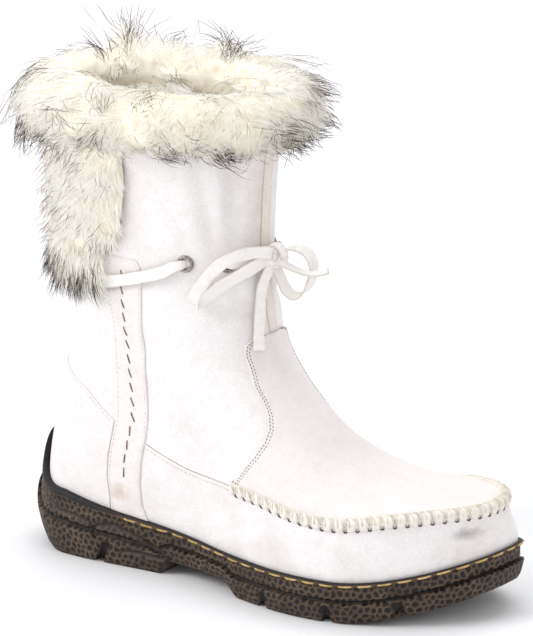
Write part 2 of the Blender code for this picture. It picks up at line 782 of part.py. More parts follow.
def make_eyelets():
    """Four rolled metal rings, each with a barrel through its hole."""
    half, bore, barrel = EYELET_WIDTH / 2, EYELET_HOLE / 2, EYELET_HOLE / 2 + EYELET_RIM
    foot = -UPPER_WALL - EYELET_RIM / 2
    profile = [(barrel, foot), (barrel, GAP), (half, GAP), (half * 0.95, GAP + 0.6 * EYELET_RISE),
               (half * 0.78, GAP + EYELET_RISE), (bore, GAP + 0.4 * EYELET_RISE), (bore, foot)]
    segments = 12
    for number, (angle, height) in enumerate(EYELET_PLACES, 1):
        point, normal = surface_point(angle, height)
        frame = Matrix.Translation(point) @ normal.to_track_quat("Z", "Y").to_matrix().to_4x4()
        rings = []
        for radius, rise in profile:
            turns = [2 * math.pi * k / segments for k in range(segments)]
            rings.append([frame @ Vector((radius * math.cos(t), radius * math.sin(t), rise)) for t in turns])
        new_object(f"eyelet_{number}", loft(rings, closed=True), (0.30, 0.27, 0.24), 0.35, 1.0)


def ribbon(name, places, widths, color=(0.84, 0.81, 0.77)):
    """Flat lace along a route: its centre points and the direction of its width at each."""
    places = [Vector(p) for p in places]
    rings = []
    for k, (place, width) in enumerate(zip(places, widths)):
        ahead = places[min(k + 1, len(places) - 1)] - places[max(k - 1, 0)]
        wide = Vector(width)
        wide = (wide - ahead * (wide.dot(ahead) / ahead.length_squared)).normalized()
        thick = ahead.cross(wide).normalized() * (LACE_THICKNESS / 2)
        wide = wide * (LACE_WIDTH / 2)
        rings.append([place + wide + thick, place - wide + thick, place - wide - thick, place + wide - thick])
    return new_object(name, loft(rings), color, 0.85)


def make_lace_bars():
    """The lace's bars: round the rear between the outer eyelets, and from the front ones to the knot."""
    start, stop = EYELET_PLACES[0][0], EYELET_PLACES[3][0] - 2 * math.pi
    places, widths = [], []
    for k in range(33):
        angle = start + (stop - start) * k / 32
        drop = LACE_DROP * (1 - abs(angle / start) ** 2.6)
        end = 0.0006 * (abs(angle / start) > 0.8)
        places.append(surface_point(angle, LACE_HEIGHT - drop, LACE_LIFT + end)[0])
        widths.append((0, 0, 1))
    ribbon("lace_rear_bar", places, widths)
    over_ring = 3 * GAP + EYELET_RISE + LACE_THICKNESS / 2
    for side, (angle, height) in (("outer", EYELET_PLACES[1]), ("inner", EYELET_PLACES[2])):
        places = []
        for k in range(6):
            share = k / 5
            near = angle + (math.pi - angle) * 0.62 * share
            places.append(surface_point(near, height + 0.003 * share, over_ring)[0])
        ribbon(f"lace_front_bar_{side}", places, [(0, 0, 1)] * 6)


# The bow's routes: a centre point, then how far the lace's width is turned from upright, in degrees
LEFT_LOOP = [
    # x, y, z, turn
    (0.1436, -0.0066, 0.1782, 0),
    (0.1434, -0.0130, 0.1803, 0),
    (0.1402, -0.0208, 0.1812, 6),
    (0.1372, -0.0276, 0.1808, 14),
    (0.1335, -0.0326, 0.1790, 28),
    (0.1300, -0.0356, 0.1758, 40),
    (0.1260, -0.0379, 0.1712, 50),
    (0.1228, -0.0393, 0.1660, 58),
    (0.1192, -0.0402, 0.1606, 62),
    (0.1170, -0.0394, 0.1560, 62),
    (0.1162, -0.0368, 0.1538, 60),
    (0.1178, -0.0346, 0.1546, 56),
    (0.1222, -0.0314, 0.1582, 48),
    (0.1268, -0.0282, 0.1628, 42),
    (0.1316, -0.0238, 0.1666, 36),
    (0.1363, -0.0186, 0.1702, 26),
    (0.1402, -0.0130, 0.1734, 14),
    (0.1420, -0.0076, 0.1752, 4),
]
RIGHT_LOOP = [
    # x, y, z, turn
    (0.1472, 0.0032, 0.1786, 90),
    (0.1500, 0.0052, 0.1790, 90),
    (0.1528, 0.0073, 0.1783, 90),
    (0.1553, 0.0090, 0.1764, 90),
    (0.1572, 0.0102, 0.1733, 90),
    (0.1580, 0.0107, 0.1690, 90),
    (0.1576, 0.0105, 0.1645, 90),
    (0.1564, 0.0098, 0.1602, 90),
    (0.1544, 0.0083, 0.1565, 90),
    (0.1516, 0.0063, 0.1543, 90),
    (0.1488, 0.0044, 0.1543, 90),
    (0.1465, 0.0028, 0.1568, 90),
    (0.1448, 0.0015, 0.1608, 90),
    (0.1435, 0.0005, 0.1650, 90),
    (0.1424, -0.0003, 0.1682, 90),
]
HANGING_END = [
    # x, y, z, turn
    (0.1412, -0.0050, 0.1692, 90),
    (0.1398, -0.0072, 0.1648, 90),
    (0.1386, -0.0085, 0.1595, 90),
    (0.1386, -0.0099, 0.1530, 90),
    (0.1396, -0.0117, 0.1438, 90),
    (0.1412, -0.0146, 0.1358, 90),
    (0.1430, -0.0173, 0.1277, 90),
]
SIDE_END = [
    # x, y, z, turn
    (0.1472, -0.0045, 0.1738, 12),
    (0.1500, -0.0022, 0.1715, 16),
    (0.1535, 0.0003, 0.1695, 18),
    (0.1575, 0.0032, 0.1677, 14),
    (0.1620, 0.0065, 0.1672, 10),
    (0.1675, 0.0103, 0.1690, 8),
]
# Where the width points when it is turned flat, for each route
BOW = [
    ("lace_loop_left", LEFT_LOOP, (-0.82, -0.57, 0.0)),
    ("lace_loop_right", RIGHT_LOOP, (-0.57, 0.82, 0.0)),
    ("lace_end_hanging", HANGING_END, (0.35, 0.94, 0.0)),
    ("lace_end_side", SIDE_END, (-0.57, 0.82, 0.0)),
]
KNOT_PLACE = (0.1424, -0.0008, 0.1755)


def make_bow():
    """The knot, its two loops and its two ends."""
    knot = bmesh.new()
    bmesh.ops.create_icosphere(knot, subdivisions=2, radius=0.5, matrix=Matrix.Translation(KNOT_PLACE)
                               @ Matrix.Diagonal((*KNOT_SIZE, 1)))
    new_object("lace_knot", knot, (0.84, 0.81, 0.77), 0.85)
    for name, route, flat in BOW:
        places = [row[:3] for row in route]
        widths = []
        for row in route:
            turn = math.radians(row[3])
            widths.append(Vector((0, 0, 1)) * math.cos(turn) + Vector(flat) * math.sin(turn))
        ribbon(name, places, widths)


make_outsole()
make_insole()
make_upper()
make_vamp()
make_moc_seam()
make_side_strip()
make_heel_counter()
make_front_seam()
make_fur_cuff()
make_fur_strip()
make_eyelets()
make_lace_bars()
make_bow()
for piece in bpy.data.objects:
    piece.data.transform(Matrix.Translation((-HEEL_CENTRE, 0, 0)))
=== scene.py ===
import math

import bmesh
import bpy
import numpy as np
from mathutils import Matrix, Vector, noise
from mathutils.kdtree import KDTree


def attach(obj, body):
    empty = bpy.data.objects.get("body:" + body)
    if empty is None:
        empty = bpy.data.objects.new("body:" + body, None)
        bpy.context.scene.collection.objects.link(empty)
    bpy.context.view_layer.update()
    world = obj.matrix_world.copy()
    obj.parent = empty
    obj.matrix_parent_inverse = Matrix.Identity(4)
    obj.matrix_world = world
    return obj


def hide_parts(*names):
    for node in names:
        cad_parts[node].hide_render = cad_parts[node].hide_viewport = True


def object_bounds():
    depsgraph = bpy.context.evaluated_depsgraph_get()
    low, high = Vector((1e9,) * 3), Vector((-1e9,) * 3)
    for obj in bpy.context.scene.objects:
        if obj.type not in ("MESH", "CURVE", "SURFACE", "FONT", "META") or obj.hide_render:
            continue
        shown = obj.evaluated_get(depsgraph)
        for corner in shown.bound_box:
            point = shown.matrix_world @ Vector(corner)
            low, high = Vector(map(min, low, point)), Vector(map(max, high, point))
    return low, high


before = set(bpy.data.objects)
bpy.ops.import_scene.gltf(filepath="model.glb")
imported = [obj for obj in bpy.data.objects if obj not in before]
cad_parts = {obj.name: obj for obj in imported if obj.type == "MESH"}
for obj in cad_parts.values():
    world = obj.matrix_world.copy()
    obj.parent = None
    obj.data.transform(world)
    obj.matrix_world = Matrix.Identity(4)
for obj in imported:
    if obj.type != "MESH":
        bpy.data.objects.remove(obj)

cad_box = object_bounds()


# The studio
# A pale floor, soft lights and the camera at the photograph's angle. The boot stands on the floor with
# its toe to +X and its outer side to -Y.
CAMERA_AIM = Vector((0.1056, 0.0, 0.1405))
CAMERA_AZIMUTH = math.radians(34.775)
CAMERA_ELEVATION = math.radians(16.776)
CAMERA_DISTANCE = 3.212
CAMERA_LENS = 350.5
PAPER_WHITE = (0.86, 0.86, 0.88, 1)
SKY_WHITE = (1.0, 0.995, 1.0, 1)
SKY_STRENGTH = 0.80
FLOOR_HALF = 9
FLOOR_DROP = 0.0002
LIGHTS = [
    # name, place, size, power
    ("key", (-1.3, -1.9, 1.9), 1.4, 44),
    ("fill", (2.2, -1.2, 1.2), 1.8, 8),
    ("top", (0.0, 0.9, 2.4), 2.0, 24),
]


def add_node(tree, kind, inputs=None, **settings):
    """A shader node with its settings, and its sockets set or linked."""
    made = tree.nodes.new(kind)
    for key, value in settings.items():
        setattr(made, key, value)
    for key, value in (inputs or {}).items():
        if isinstance(value, bpy.types.NodeSocket):
            tree.links.new(value, made.inputs[key])
        else:
            made.inputs[key].default_value = value
    return made


def new_material(name, **plain):
    """A Principled material with its plain numbers on the shader's own sockets."""
    material = bpy.data.materials.new(name)
    material.use_nodes = True
    shader = material.node_tree.nodes["Principled BSDF"]
    for key, value in plain.items():
        shader.inputs[key.replace("_", " ")].default_value = value
    return material, material.node_tree, shader


def paint_ramp(tree, factor, stops):
    """A colour ramp from places and colours."""
    ramp = add_node(tree, "ShaderNodeValToRGB", {"Fac": factor})
    elements = ramp.color_ramp.elements
    while len(elements) < len(stops):
        elements.new(0.5)
    for element, (place, color) in zip(elements, stops):
        element.position = place
        element.color = (*color, 1)
    return ramp.outputs["Color"]


def soft_light(name, place, size, power):
    light = bpy.data.lights.new(name, "AREA")
    light.size = size
    light.energy = power
    lamp = bpy.data.objects.new(name, light)
    lamp.location = place
    lamp.rotation_euler = (CAMERA_AIM - Vector(place)).to_track_quat("-Z", "Y").to_euler()
    bpy.context.scene.collection.objects.link(lamp)


def set_the_studio():
    shape = bmesh.new()
    bmesh.ops.create_grid(shape, x_segments=2, y_segments=2, size=FLOOR_HALF)
    mesh = bpy.data.meshes.new("floor")
    shape.to_mesh(mesh)
    shape.free()
    floor = bpy.data.objects.new("floor", mesh)
    bpy.context.scene.collection.objects.link(floor)
    floor.location.z = -FLOOR_DROP
    paper, _, _ = new_material("floor_paper", Base_Color=PAPER_WHITE, Roughness=0.75)
    mesh.materials.append(paper)
    for light in LIGHTS:
        soft_light(*light)
    world = bpy.data.worlds.new("studio")
    world.use_nodes = True
    sky = world.node_tree.nodes["Background"]
    sky.inputs["Color"].default_value = SKY_WHITE
    sky.inputs["Strength"].default_value = SKY_STRENGTH
    bpy.context.scene.world = world
    bpy.context.scene.view_settings.view_transform = "Standard"
    lens = bpy.data.cameras.new("camera")
    lens.lens = CAMERA_LENS
    lens.sensor_width = 36
    lens.clip_end = 30
    camera = bpy.data.objects.new("camera", lens)
    flat = math.cos(CAMERA_ELEVATION)
    sideways = -math.sin(CAMERA_AZIMUTH) * flat
    inward = math.cos(CAMERA_AZIMUTH) * flat
    ahead = Vector((sideways, inward, -math.sin(CAMERA_ELEVATION)))
    camera.location = CAMERA_AIM - ahead * CAMERA_DISTANCE
    camera.rotation_euler = ahead.to_track_quat("-Z", "Y").to_euler()
    bpy.context.scene.collection.objects.link(camera)
    bpy.context.scene.camera = camera


set_the_studio()


# The outsole
# One moulded rubber cup: brown net over dark cells on its sides, a smooth black rim, and a line of gold
# stitches below the rim. Grooves divide its lower edge into lugs. The upper is cemented into it.
LENGTH = 0.276
BALL = 0.099
HEEL_CENTRE = 0.030
HEEL_LEAN = 0.10
HEEL_BELLY = 0.030
HEEL_TUCK = 0.007
HEEL_SWELL = 0.0045
SOLE_HEIGHT = 0.0225
CUP_HEIGHT = 0.056
RIM_WALL = 0.0035
BED_HEIGHT = 0.014
LUG_DEPTH = 0.0075
OUTLINE_ROUNDNESS = 2.6
TOE_TURN = 0.020
TOE_TURN_FROM = 0.6
TOE_SPRING = 0.018
TOE_SPRING_FROM = 0.74
ARCH_RISE = 0.0075
ARCH_FROM = 0.32
ARCH_TO = 0.525
HEEL_WEDGE = 0.006
HEEL_ZONE = 0.20
CUP_FALL = 0.022
SOLE_COLUMNS = 1200
OUTLINE = [
    # along, outer, inner
    (0.00, 0.45, 0.45),
    (0.06, 0.49, 0.49),
    (0.12, 0.44, 0.434),
    (0.20, 0.39, 0.376),
    (0.30, 0.353, 0.325),
    (0.40, 0.357, 0.305),
    (0.50, 0.420, 0.340),
    (0.60, 0.483, 0.415),
    (0.70, 0.524, 0.498),
    (0.80, 0.540, 0.552),
    (0.90, 0.510, 0.590),
    (1.00, 0.440, 0.500),
]
RIM = [
    # along, height
    (0.10, 1.56),
    (0.20, 1.36),
    (0.32, 1.20),
    (0.46, 1.04),
    (0.60, 1.00),
    (0.80, 0.98),
    (1.00, 0.88),
]
SIDE_STEPS = [
    # height, inset as a share of the rim's wall
    (0.00, 0.95),
    (0.08, 0.55),
    (0.25, 0.25),
    (0.40, 0.05),
    (0.42, 0.00),
    (0.47, 0.05),
    (0.52, 0.90),
    (0.57, 0.60),
    (0.84, 0.62),
    (0.87, 0.28),
    (0.97, 0.25),
    (1.00, 0.45),
]
CELL_PITCH = 0.0038
CELL_ROW = 0.0034
CELL_JITTER = 0.0011
CELL_DEPTH = 0.00035
CELLS_TO = 0.93
NET_HALF = 0.17
NET_BLUR = 0.20
NET_WARP = 0.0009
NET_SEED = 5
GROOVE_DEPTH = 0.0026
LUG_GROOVE_HALF = 0.0020
LUG_GROOVES_TO = 0.34
LEAF_GROOVE_HALF = 0.0011
LEAF_GROOVE_SHARE = 0.55
CHANNEL_HEIGHT = 0.53
LUG_GROOVES = [
    # along, slant
    (0.185, 0.50),
    (0.592, 0.10),
    (0.739, 0.00),
    (0.870, -0.15),
]
# The edges of the heel's leaf-shaped lugs on the sole's side: along the boot and above the floor
LEAF_GROOVES = [
    [(0.012, 0.031), (0.024, 0.0235), (0.036, 0.0225), (0.045, 0.0205), (0.050, 0.014)],
    [(0.050, 0.020), (0.060, 0.0215), (0.078, 0.0170), (0.090, 0.0125), (0.098, 0.0070)],
    [(0.066, 0.0085), (0.078, 0.0098), (0.092, 0.0090)],
]
FLOOR_INSET_ROWS = (0.12, 0.35, 0.65, 1.0)
NET_BROWNS = [(0.30, (0.048, 0.030, 0.018)), (0.60, (0.094, 0.062, 0.038)), (0.8, (0.15, 0.103, 0.064))]
CELL_BLACK = (0.0055, 0.0040, 0.0038)
GROOVE_BLACK = (0.007, 0.006, 0.0065)
RIM_BLACK = (0.009, 0.007, 0.008)


def ease(share):
    share = np.clip(share, 0.0, 1.0)
    return share * share * (3.0 - 2.0 * share)


def read_table(table, column, at):
    """Smooth curve through one column of a table whose first column is the place."""
    rows = np.array(table)
    xs, ys = rows[:, 0], rows[:, column]
    slopes = np.gradient(ys, xs)
    at = np.clip(np.asarray(at, float), xs[0], xs[-1])
    k = np.clip(np.searchsorted(xs, at, side="right") - 1, 0, len(xs) - 2)
    step = xs[k + 1] - xs[k]
    t = (at - xs[k]) / step
    rise = (2 * t**3 - 3 * t**2 + 1) * ys[k] + (3 * t**2 - 2 * t**3) * ys[k + 1]
    return rise + (t**3 - 2 * t**2 + t) * step * slopes[k] + (t**3 - t**2) * step * slopes[k + 1]


def round_blank(turn, power):
    return (1.0 - np.abs(np.cos(turn)) ** power) ** (1.0 / power)


def side_sign(turn):
    return np.where(np.sin(turn) >= 0, -1.0, 1.0)


def toe_turn(x):
    return TOE_TURN * np.clip((x / LENGTH - TOE_TURN_FROM) / (1 - TOE_TURN_FROM), 0, 1) ** 2


def toe_lift(x):
    return TOE_SPRING * np.clip((x / LENGTH - TOE_SPRING_FROM) / (1 - TOE_SPRING_FROM), 0, 1) ** 1.8


def outline_half(turn):
    along = (1 - np.cos(turn)) / 2
    half = np.where(np.sin(turn) >= 0, read_table(OUTLINE, 1, along), read_table(OUTLINE, 2, along))
    return BALL * half * round_blank(turn, OUTLINE_ROUNDNESS)


def plan(turn, inset):
    """The sole's outline in plan, moved in by an inset."""
    def point(t):
        x = LENGTH * (1 - np.cos(t)) / 2
        return np.stack([x, side_sign(t) * outline_half(t) + toe_turn(x)], -1)

    tangent = point(turn + 0.02) - point(turn - 0.02)
    tangent /= np.linalg.norm(tangent, axis=1)[:, None]
    return point(turn) + np.stack([-tangent[:, 1], tangent[:, 0]], -1) * np.reshape(inset, (-1, 1))


def rim_height(x):
    along = x / LENGTH
    peak = CUP_HEIGHT - SOLE_HEIGHT * RIM[0][1]
    return SOLE_HEIGHT * read_table(RIM, 1, along) + peak * np.exp(-along / CUP_FALL)


def underside(x):
    along = x / LENGTH
    return toe_lift(x) + ARCH_RISE * ease((along - ARCH_FROM) / 0.03) * ease((ARCH_TO - along) / 0.04)


def bed(x):
    return BED_HEIGHT + toe_lift(x) * 0.9 + HEEL_WEDGE * ease(1 - x / (0.55 * LENGTH))


def heel_share(x):
    return np.clip(1 - x / (HEEL_ZONE * LENGTH), 0, 1)


def lean(x, z):
    return (HEEL_LEAN * (z - HEEL_BELLY) - 0.2 * HEEL_TUCK) * heel_share(x)


def outer_lean(x, z):
    tuck = HEEL_TUCK * np.clip(1 - z / HEEL_BELLY, 0, 1) ** 2
    return (tuck + HEEL_LEAN * np.clip(z - HEEL_BELLY, 0, None) - 0.2 * HEEL_TUCK) * heel_share(x)


def sole_side(turn, height, inset):
    """A ring of the sole's side at a share of its height."""
    x = plan(turn, 0.0)[:, 0]
    swell = HEEL_SWELL * heel_share(x * 0.55) * (1 - 0.6 * height**2)
    flat = plan(turn, inset * RIM_WALL - swell)
    x = flat[:, 0]
    z = underside(x) * (1 - height) + toe_lift(x) * height + height * rim_height(x)
    ring = np.column_stack([flat, z])
    ring[:, 0] += outer_lean(ring[:, 0], z)
    return ring


def line_distance(points, line):
    """How far each point lies from a broken line, in as many dimensions as both have."""
    best = np.full(points.shape[:-1], 1.0)
    for start, stop in zip(np.array(line[:-1]), np.array(line[1:])):
        run = stop - start
        share = np.clip(((points - start) @ run) / (run @ run), 0, 1)
        best = np.minimum(best, np.linalg.norm(points - start - share[..., None] * run, axis=-1))
    return best


def lay_sheet(name, points, outward=None, wrap=False):
    """A sheet of squares laid on a grid of points. With wrap its columns join up."""
    if wrap:
        points = np.concatenate([points, points[:, :1]], axis=1)
    rows, columns = points.shape[:2]
    shape = bmesh.new()
    shape.loops.layers.uv.verify()
    bmesh.ops.create_grid(shape, x_segments=columns - 1, y_segments=rows - 1, size=1, calc_uvs=True)
    for vert in shape.verts:
        column = round((vert.co.x + 1) / 2 * (columns - 1))
        row = round((vert.co.y + 1) / 2 * (rows - 1))
        vert.co = points[row, column]
    bmesh.ops.remove_doubles(shape, verts=shape.verts, dist=1e-6)
    shape.normal_update()
    if outward is None:
        bmesh.ops.recalc_face_normals(shape, faces=shape.faces)
    else:
        middle = points[rows // 2, columns // 3]
        face = min(shape.faces, key=lambda f: (f.calc_center_median() - Vector(middle)).length)
        if face.normal.dot(Vector(outward[rows // 2, columns // 3])) < 0:
            bmesh.ops.reverse_faces(shape, faces=shape.faces)
    return finish_piece(name, shape)


def finish_piece(name, shape):
    """A smooth-shaded object from a bmesh, riding on the boot."""
    mesh = bpy.data.meshes.new(name)
    shape.to_mesh(mesh)
    shape.free()
    mesh.shade_smooth()
    piece = bpy.data.objects.new(name, mesh)
    bpy.context.scene.collection.objects.link(piece)
    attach(piece, "root")
    return piece


def store(piece, key, values):
    """A number at each vertex, for the material to read."""
    layer = piece.data.attributes.new(key, "FLOAT", "POINT")
    layer.data.foreach_set("value", np.asarray(values, np.float32).ravel())


def in_frame(points):
    """From the last's own x, measured from the back of the heel, to the model's."""
    return points - np.array([HEEL_CENTRE, 0, 0])


def unit(vectors):
    """Vectors of length one, in the same directions."""
    return vectors / np.linalg.norm(vectors, axis=-1)[..., None]


def arc_along(points):
    """The distance along a line to each of its points."""
    return np.concatenate([[0], np.cumsum(np.linalg.norm(np.diff(points, axis=0), axis=1))])


def net_distance(points):
    """How far each place of the unrolled wall is from the net, as a share of the cells' pitch."""
    ring = points[len(points) // 2]
    run = arc_along(np.concatenate([ring, ring[:1]]))
    count = round(run[-1] / CELL_PITCH)
    pitch = run[-1] / count
    low = points[..., 2].min() - pitch
    rows = math.ceil((points[..., 2].max() - low) / CELL_ROW) + 1
    noise.seed_set(NET_SEED)
    shift = np.random.default_rng(NET_SEED).uniform(-CELL_JITTER, CELL_JITTER, (rows, count, 2))
    tree = KDTree(rows * (count + 4))
    for row in range(rows):
        for column in range(-2, count + 2):
            along, up = shift[row, column % count]
            place = ((column + row % 2 / 2) * pitch + along, low + row * CELL_ROW + up, 0)
            tree.insert(place, 0)
    tree.balance()
    net = np.zeros(points.shape[:2])
    for (row, column), z in np.ndenumerate(points[..., 2]):
        warp = noise.noise_vector(Vector(points[row, column]) * 120) * NET_WARP
        near, far = tree.find_n((run[column] + warp.x, z + warp.z, 0), 2)
        net[row, column] = (far[2] - near[2]) / pitch
    return net


def mark_vertices(piece, points, **marks):
    """Keep grids of numbers at the vertices of the sheet that was laid on the same grid of points."""
    tree = KDTree(points.size // 3)
    for i, point in enumerate(in_frame(points).reshape(-1, 3)):
        tree.insert(point, i)
    tree.balance()
    order = [tree.find(v.co)[1] for v in piece.data.vertices]
    for key, values in marks.items():
        store(piece, key, values.ravel()[order])


def mould_outsole():
    turn = np.arange(SOLE_COLUMNS) * 2 * math.pi / SOLE_COLUMNS
    steps = np.array(SIDE_STEPS)
    heights = np.unique(np.round(np.concatenate([steps[:, 0], np.linspace(0, 1, 38)]), 3))
    rings = []
    share_of_side = []
    first = sole_side(turn, 0.0, steps[0, 1])
    for inset in FLOOR_INSET_ROWS[::-1]:
        ring = first.copy()
        ring[:, 1] = first[:, 1] * (1 - inset) + toe_turn(first[:, 0]) * inset
        rings.append(ring)
        share_of_side.append(-inset)
    for height in heights:
        rings.append(sole_side(turn, height, np.interp(height, steps[:, 0], steps[:, 1])))
        share_of_side.append(height)
    inner = plan(turn, RIM_WALL)
    x = inner[:, 0]
    for z in (toe_lift(x) + rim_height(x) - 0.0003, bed(x)):
        ring = np.column_stack([inner, z])
        ring[:, 0] += lean(ring[:, 0], z)
        rings.append(ring)
        share_of_side.append(1.2)
    floor = rings[-1].copy()
    floor[:, 1] = toe_turn(floor[:, 0])
    rings.append(floor)
    share_of_side.append(1.2)
    points = np.array(rings)
    height = np.repeat(np.array(share_of_side)[:, None], SOLE_COLUMNS, axis=1)
    side = np.stack([points[..., 0], points[..., 2]], -1)
    gap = np.zeros(height.shape)
    for along, slant in LUG_GROOVES:
        middle = along * LENGTH + slant * (points[..., 2] - toe_lift(np.array(along * LENGTH)))
        low = 1 - ease((height - LUG_GROOVES_TO) / 0.10)
        gap = np.maximum(gap, ease(1.6 - np.abs(points[..., 0] - middle) / LUG_GROOVE_HALF) * low)
    for line in LEAF_GROOVES:
        near = ease(1.5 - line_distance(side, line) / LEAF_GROOVE_HALF)
        gap = np.maximum(gap, near * (height > 0.0) * (height < 0.8) * LEAF_GROOVE_SHARE)
    channel = np.exp(-((height - CHANNEL_HEIGHT) / 0.025) ** 2)
    cell = ease((net_distance(points) - NET_HALF) / NET_BLUR)
    cell = cell * ease((CELLS_TO - height) / 0.03) * (1 - gap)
    outward = np.cross(np.gradient(points, axis=1), np.gradient(points, axis=0))
    outward /= np.linalg.norm(outward, axis=2)[..., None] + 1e-12
    wall = ease(height / 0.03) * ease((0.99 - height) / 0.03)
    points -= outward * ((CELL_DEPTH * cell + GROOVE_DEPTH * gap * (height > 0)) * wall)[..., None]
    points[..., 2] += (height <= 0) * gap * LUG_DEPTH * 0.8
    sole = lay_sheet("sole", in_frame(points), wrap=True)
    rim_from = 0.90 + 0.055 * ease((points[..., 0] - 0.045) / 0.03)
    rim = ease((height - rim_from) / 0.02)
    mark_vertices(sole, points, cell=cell, dark=np.maximum(gap, channel), rim=rim)
    return sole


def mix_colors(tree, factor, low, high):
    """Two colours mixed by a factor. Each is a socket or three numbers."""
    made = add_node(tree, "ShaderNodeMix", {0: factor}, data_type="RGBA")
    for index, value in ((6, low), (7, high)):
        if isinstance(value, bpy.types.NodeSocket):
            tree.links.new(value, made.inputs[index])
        else:
            made.inputs[index].default_value = (*value, 1)
    return made.outputs[2]


def object_place(tree):
    return add_node(tree, "ShaderNodeTexCoord").outputs["Object"]


def noise_at(tree, place, scale, detail, **more):
    """Cloudy noise of a scale and a detail, between 0 and 1."""
    inputs = {"Vector": place, "Scale": scale, "Detail": detail, **more}
    return add_node(tree, "ShaderNodeTexNoise", inputs).outputs["Fac"]


def read_mark(tree, name):
    """A number kept at the vertices."""
    return add_node(tree, "ShaderNodeAttribute", attribute_name=name).outputs["Fac"]


def add_math(tree, operation, *values, clamp=False):
    """A sum or product of sockets and numbers."""
    settings = {"operation": operation, "use_clamp": clamp}
    return add_node(tree, "ShaderNodeMath", dict(enumerate(values)), **settings).outputs[0]


def add_range(tree, value, start, stop, least=0.0, most=1.0):
    """A value moved from one range to another."""
    inputs = dict(enumerate((value, start, stop, least, most)))
    return add_node(tree, "ShaderNodeMapRange", inputs).outputs["Result"]


def add_bump(tree, shader, height, strength, distance):
    bump = add_node(tree, "ShaderNodeBump", {"Height": height, "Strength": strength, "Distance": distance})
    tree.links.new(bump.outputs["Normal"], shader.inputs["Normal"])


def rubber_material():
    material, tree, shader = new_material("sole_rubber", Roughness=0.55, Specular_IOR_Level=0.35)
    place = object_place(tree)
    worn = noise_at(tree, place, 70.0, 5.0)
    hollow = mix_colors(tree, read_mark(tree, "cell"), paint_ramp(tree, worn, NET_BROWNS), CELL_BLACK)
    groove = mix_colors(tree, read_mark(tree, "dark"), hollow, GROOVE_BLACK)
    tree.links.new(mix_colors(tree, read_mark(tree, "rim"), groove, RIM_BLACK), shader.inputs["Base Color"])
    add_bump(tree, shader, noise_at(tree, place, 900.0, 3.0), 0.35, 0.0003)
    tree.links.new(add_range(tree, worn, 0.0, 1.0, 0.42, 0.68), shader.inputs["Roughness"])
    return material


sole = mould_outsole()
sole.data.materials.append(rubber_material())
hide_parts("outsole")


# The insole
# A felt sock board glued to the footbed, inside the upper's lower edge.
FELT_TANS = [(0.3, (0.46, 0.38, 0.29)), (0.7, (0.66, 0.57, 0.46))]


def felt_material():
    material, tree, shader = new_material("insole_felt", Roughness=0.95, Specular_IOR_Level=0.1)
    fleck = noise_at(tree, object_place(tree), 420.0, 4.0)
    tree.links.new(paint_ramp(tree, fleck, FELT_TANS), shader.inputs["Base Color"])
    add_bump(tree, shader, fleck, 0.5, 0.0005)
    return material


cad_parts["insole"].data.materials.clear()
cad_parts["insole"].data.materials.append(felt_material())


# The suede upper
# White suede, lasted over the foot: a lower panel round the foot, and a shaft above it. The last is a set
# of slanting loops, and every panel, seam, stitch and tuft above is placed on it by angle and height.
SHAFT = 0.079
COLLAR = 0.250
COUNTER = 0.105
GAP = 0.0003
UPPER_WALL = 0.0022
LOOPS = [
    # back along, back height, front along, front height, outer, inner, plan, dip
    (0.056, 0.420, 0.968, 0.238, 0.575, 0.560, 1.00, 1.00),
    (0.059, 0.445, 0.940, 0.246, 0.545, 0.530, 0.88, 0.84),
    (0.062, 0.474, 0.890, 0.252, 0.505, 0.495, 0.70, 0.66),
    (0.062, 0.505, 0.825, 0.262, 0.478, 0.468, 0.52, 0.50),
    (0.062, 0.537, 0.752, 0.278, 0.462, 0.452, 0.38, 0.36),
    (0.062, 0.569, 0.688, 0.306, 0.455, 0.445, 0.26, 0.24),
    (0.062, 0.603, 0.627, 0.350, 0.455, 0.448, 0.16, 0.14),
    (0.062, 0.639, 0.568, 0.410, 0.462, 0.457, 0.08, 0.06),
    (0.062, 0.679, 0.522, 0.478, 0.470, 0.466, 0.03, 0.00),
    (0.062, 0.723, 0.503, 0.558, 0.478, 0.476, 0.00, 0.00),
    (0.062, 0.773, 0.493, 0.638, 0.486, 0.486, 0.00, 0.00),
    (0.062, 0.828, 0.488, 0.728, 0.492, 0.492, 0.00, 0.00),
    (0.062, 0.888, 0.491, 0.830, 0.500, 0.500, 0.00, 0.00),
    (0.061, 0.945, 0.498, 0.920, 0.505, 0.505, 0.00, 0.00),
    (0.060, 1.000, 0.505, 1.000, 0.510, 0.510, 0.00, 0.00),
]
SEAM_DIP = [
    # along, dip
    (0.00, 0.00),
    (0.10, 0.02),
    (0.14, 0.05),
    (0.20, 0.14),
    (0.30, 0.23),
    (0.38, 0.26),
    (0.50, 0.224),
    (0.58, 0.197),
    (0.68, 0.190),
    (0.76, 0.160),
    (0.84, 0.090),
    (0.90, 0.045),
    (0.95, 0.015),
    (1.00, 0.00),
]
TOP_LEVEL = len(LOOPS) - 1
COLUMNS = 264
LEVELS = np.concatenate([np.linspace(-1, 0, 25)[:-1], np.linspace(0, TOP_LEVEL, TOP_LEVEL * 6 + 1)])


def upper_loop(turn, level):
    """One loop of the last, at or above the seam that runs round the whole boot."""
    table = np.column_stack([np.arange(len(LOOPS)), LOOPS])
    read = (read_table(table, column, level) for column in range(1, 9))
    back_x, back_z, front_x, front_z, outer, inner, keep, dip = read
    share = (1 - np.cos(turn)) / 2
    x = LENGTH * (back_x + (front_x - back_x) * share)
    outline = outline_half(turn)
    shape = keep * outline / outline.max() + (1 - keep) * round_blank(turn, 2.1)
    y = side_sign(turn) * SHAFT * np.where(np.sin(turn) >= 0, outer, inner) * shape + toe_turn(x)
    z = COLLAR * (back_z + (front_z - back_z) * share) - dip * COUNTER * read_table(SEAM_DIP, 1, x / LENGTH)
    return np.stack([x, y, z], -1)


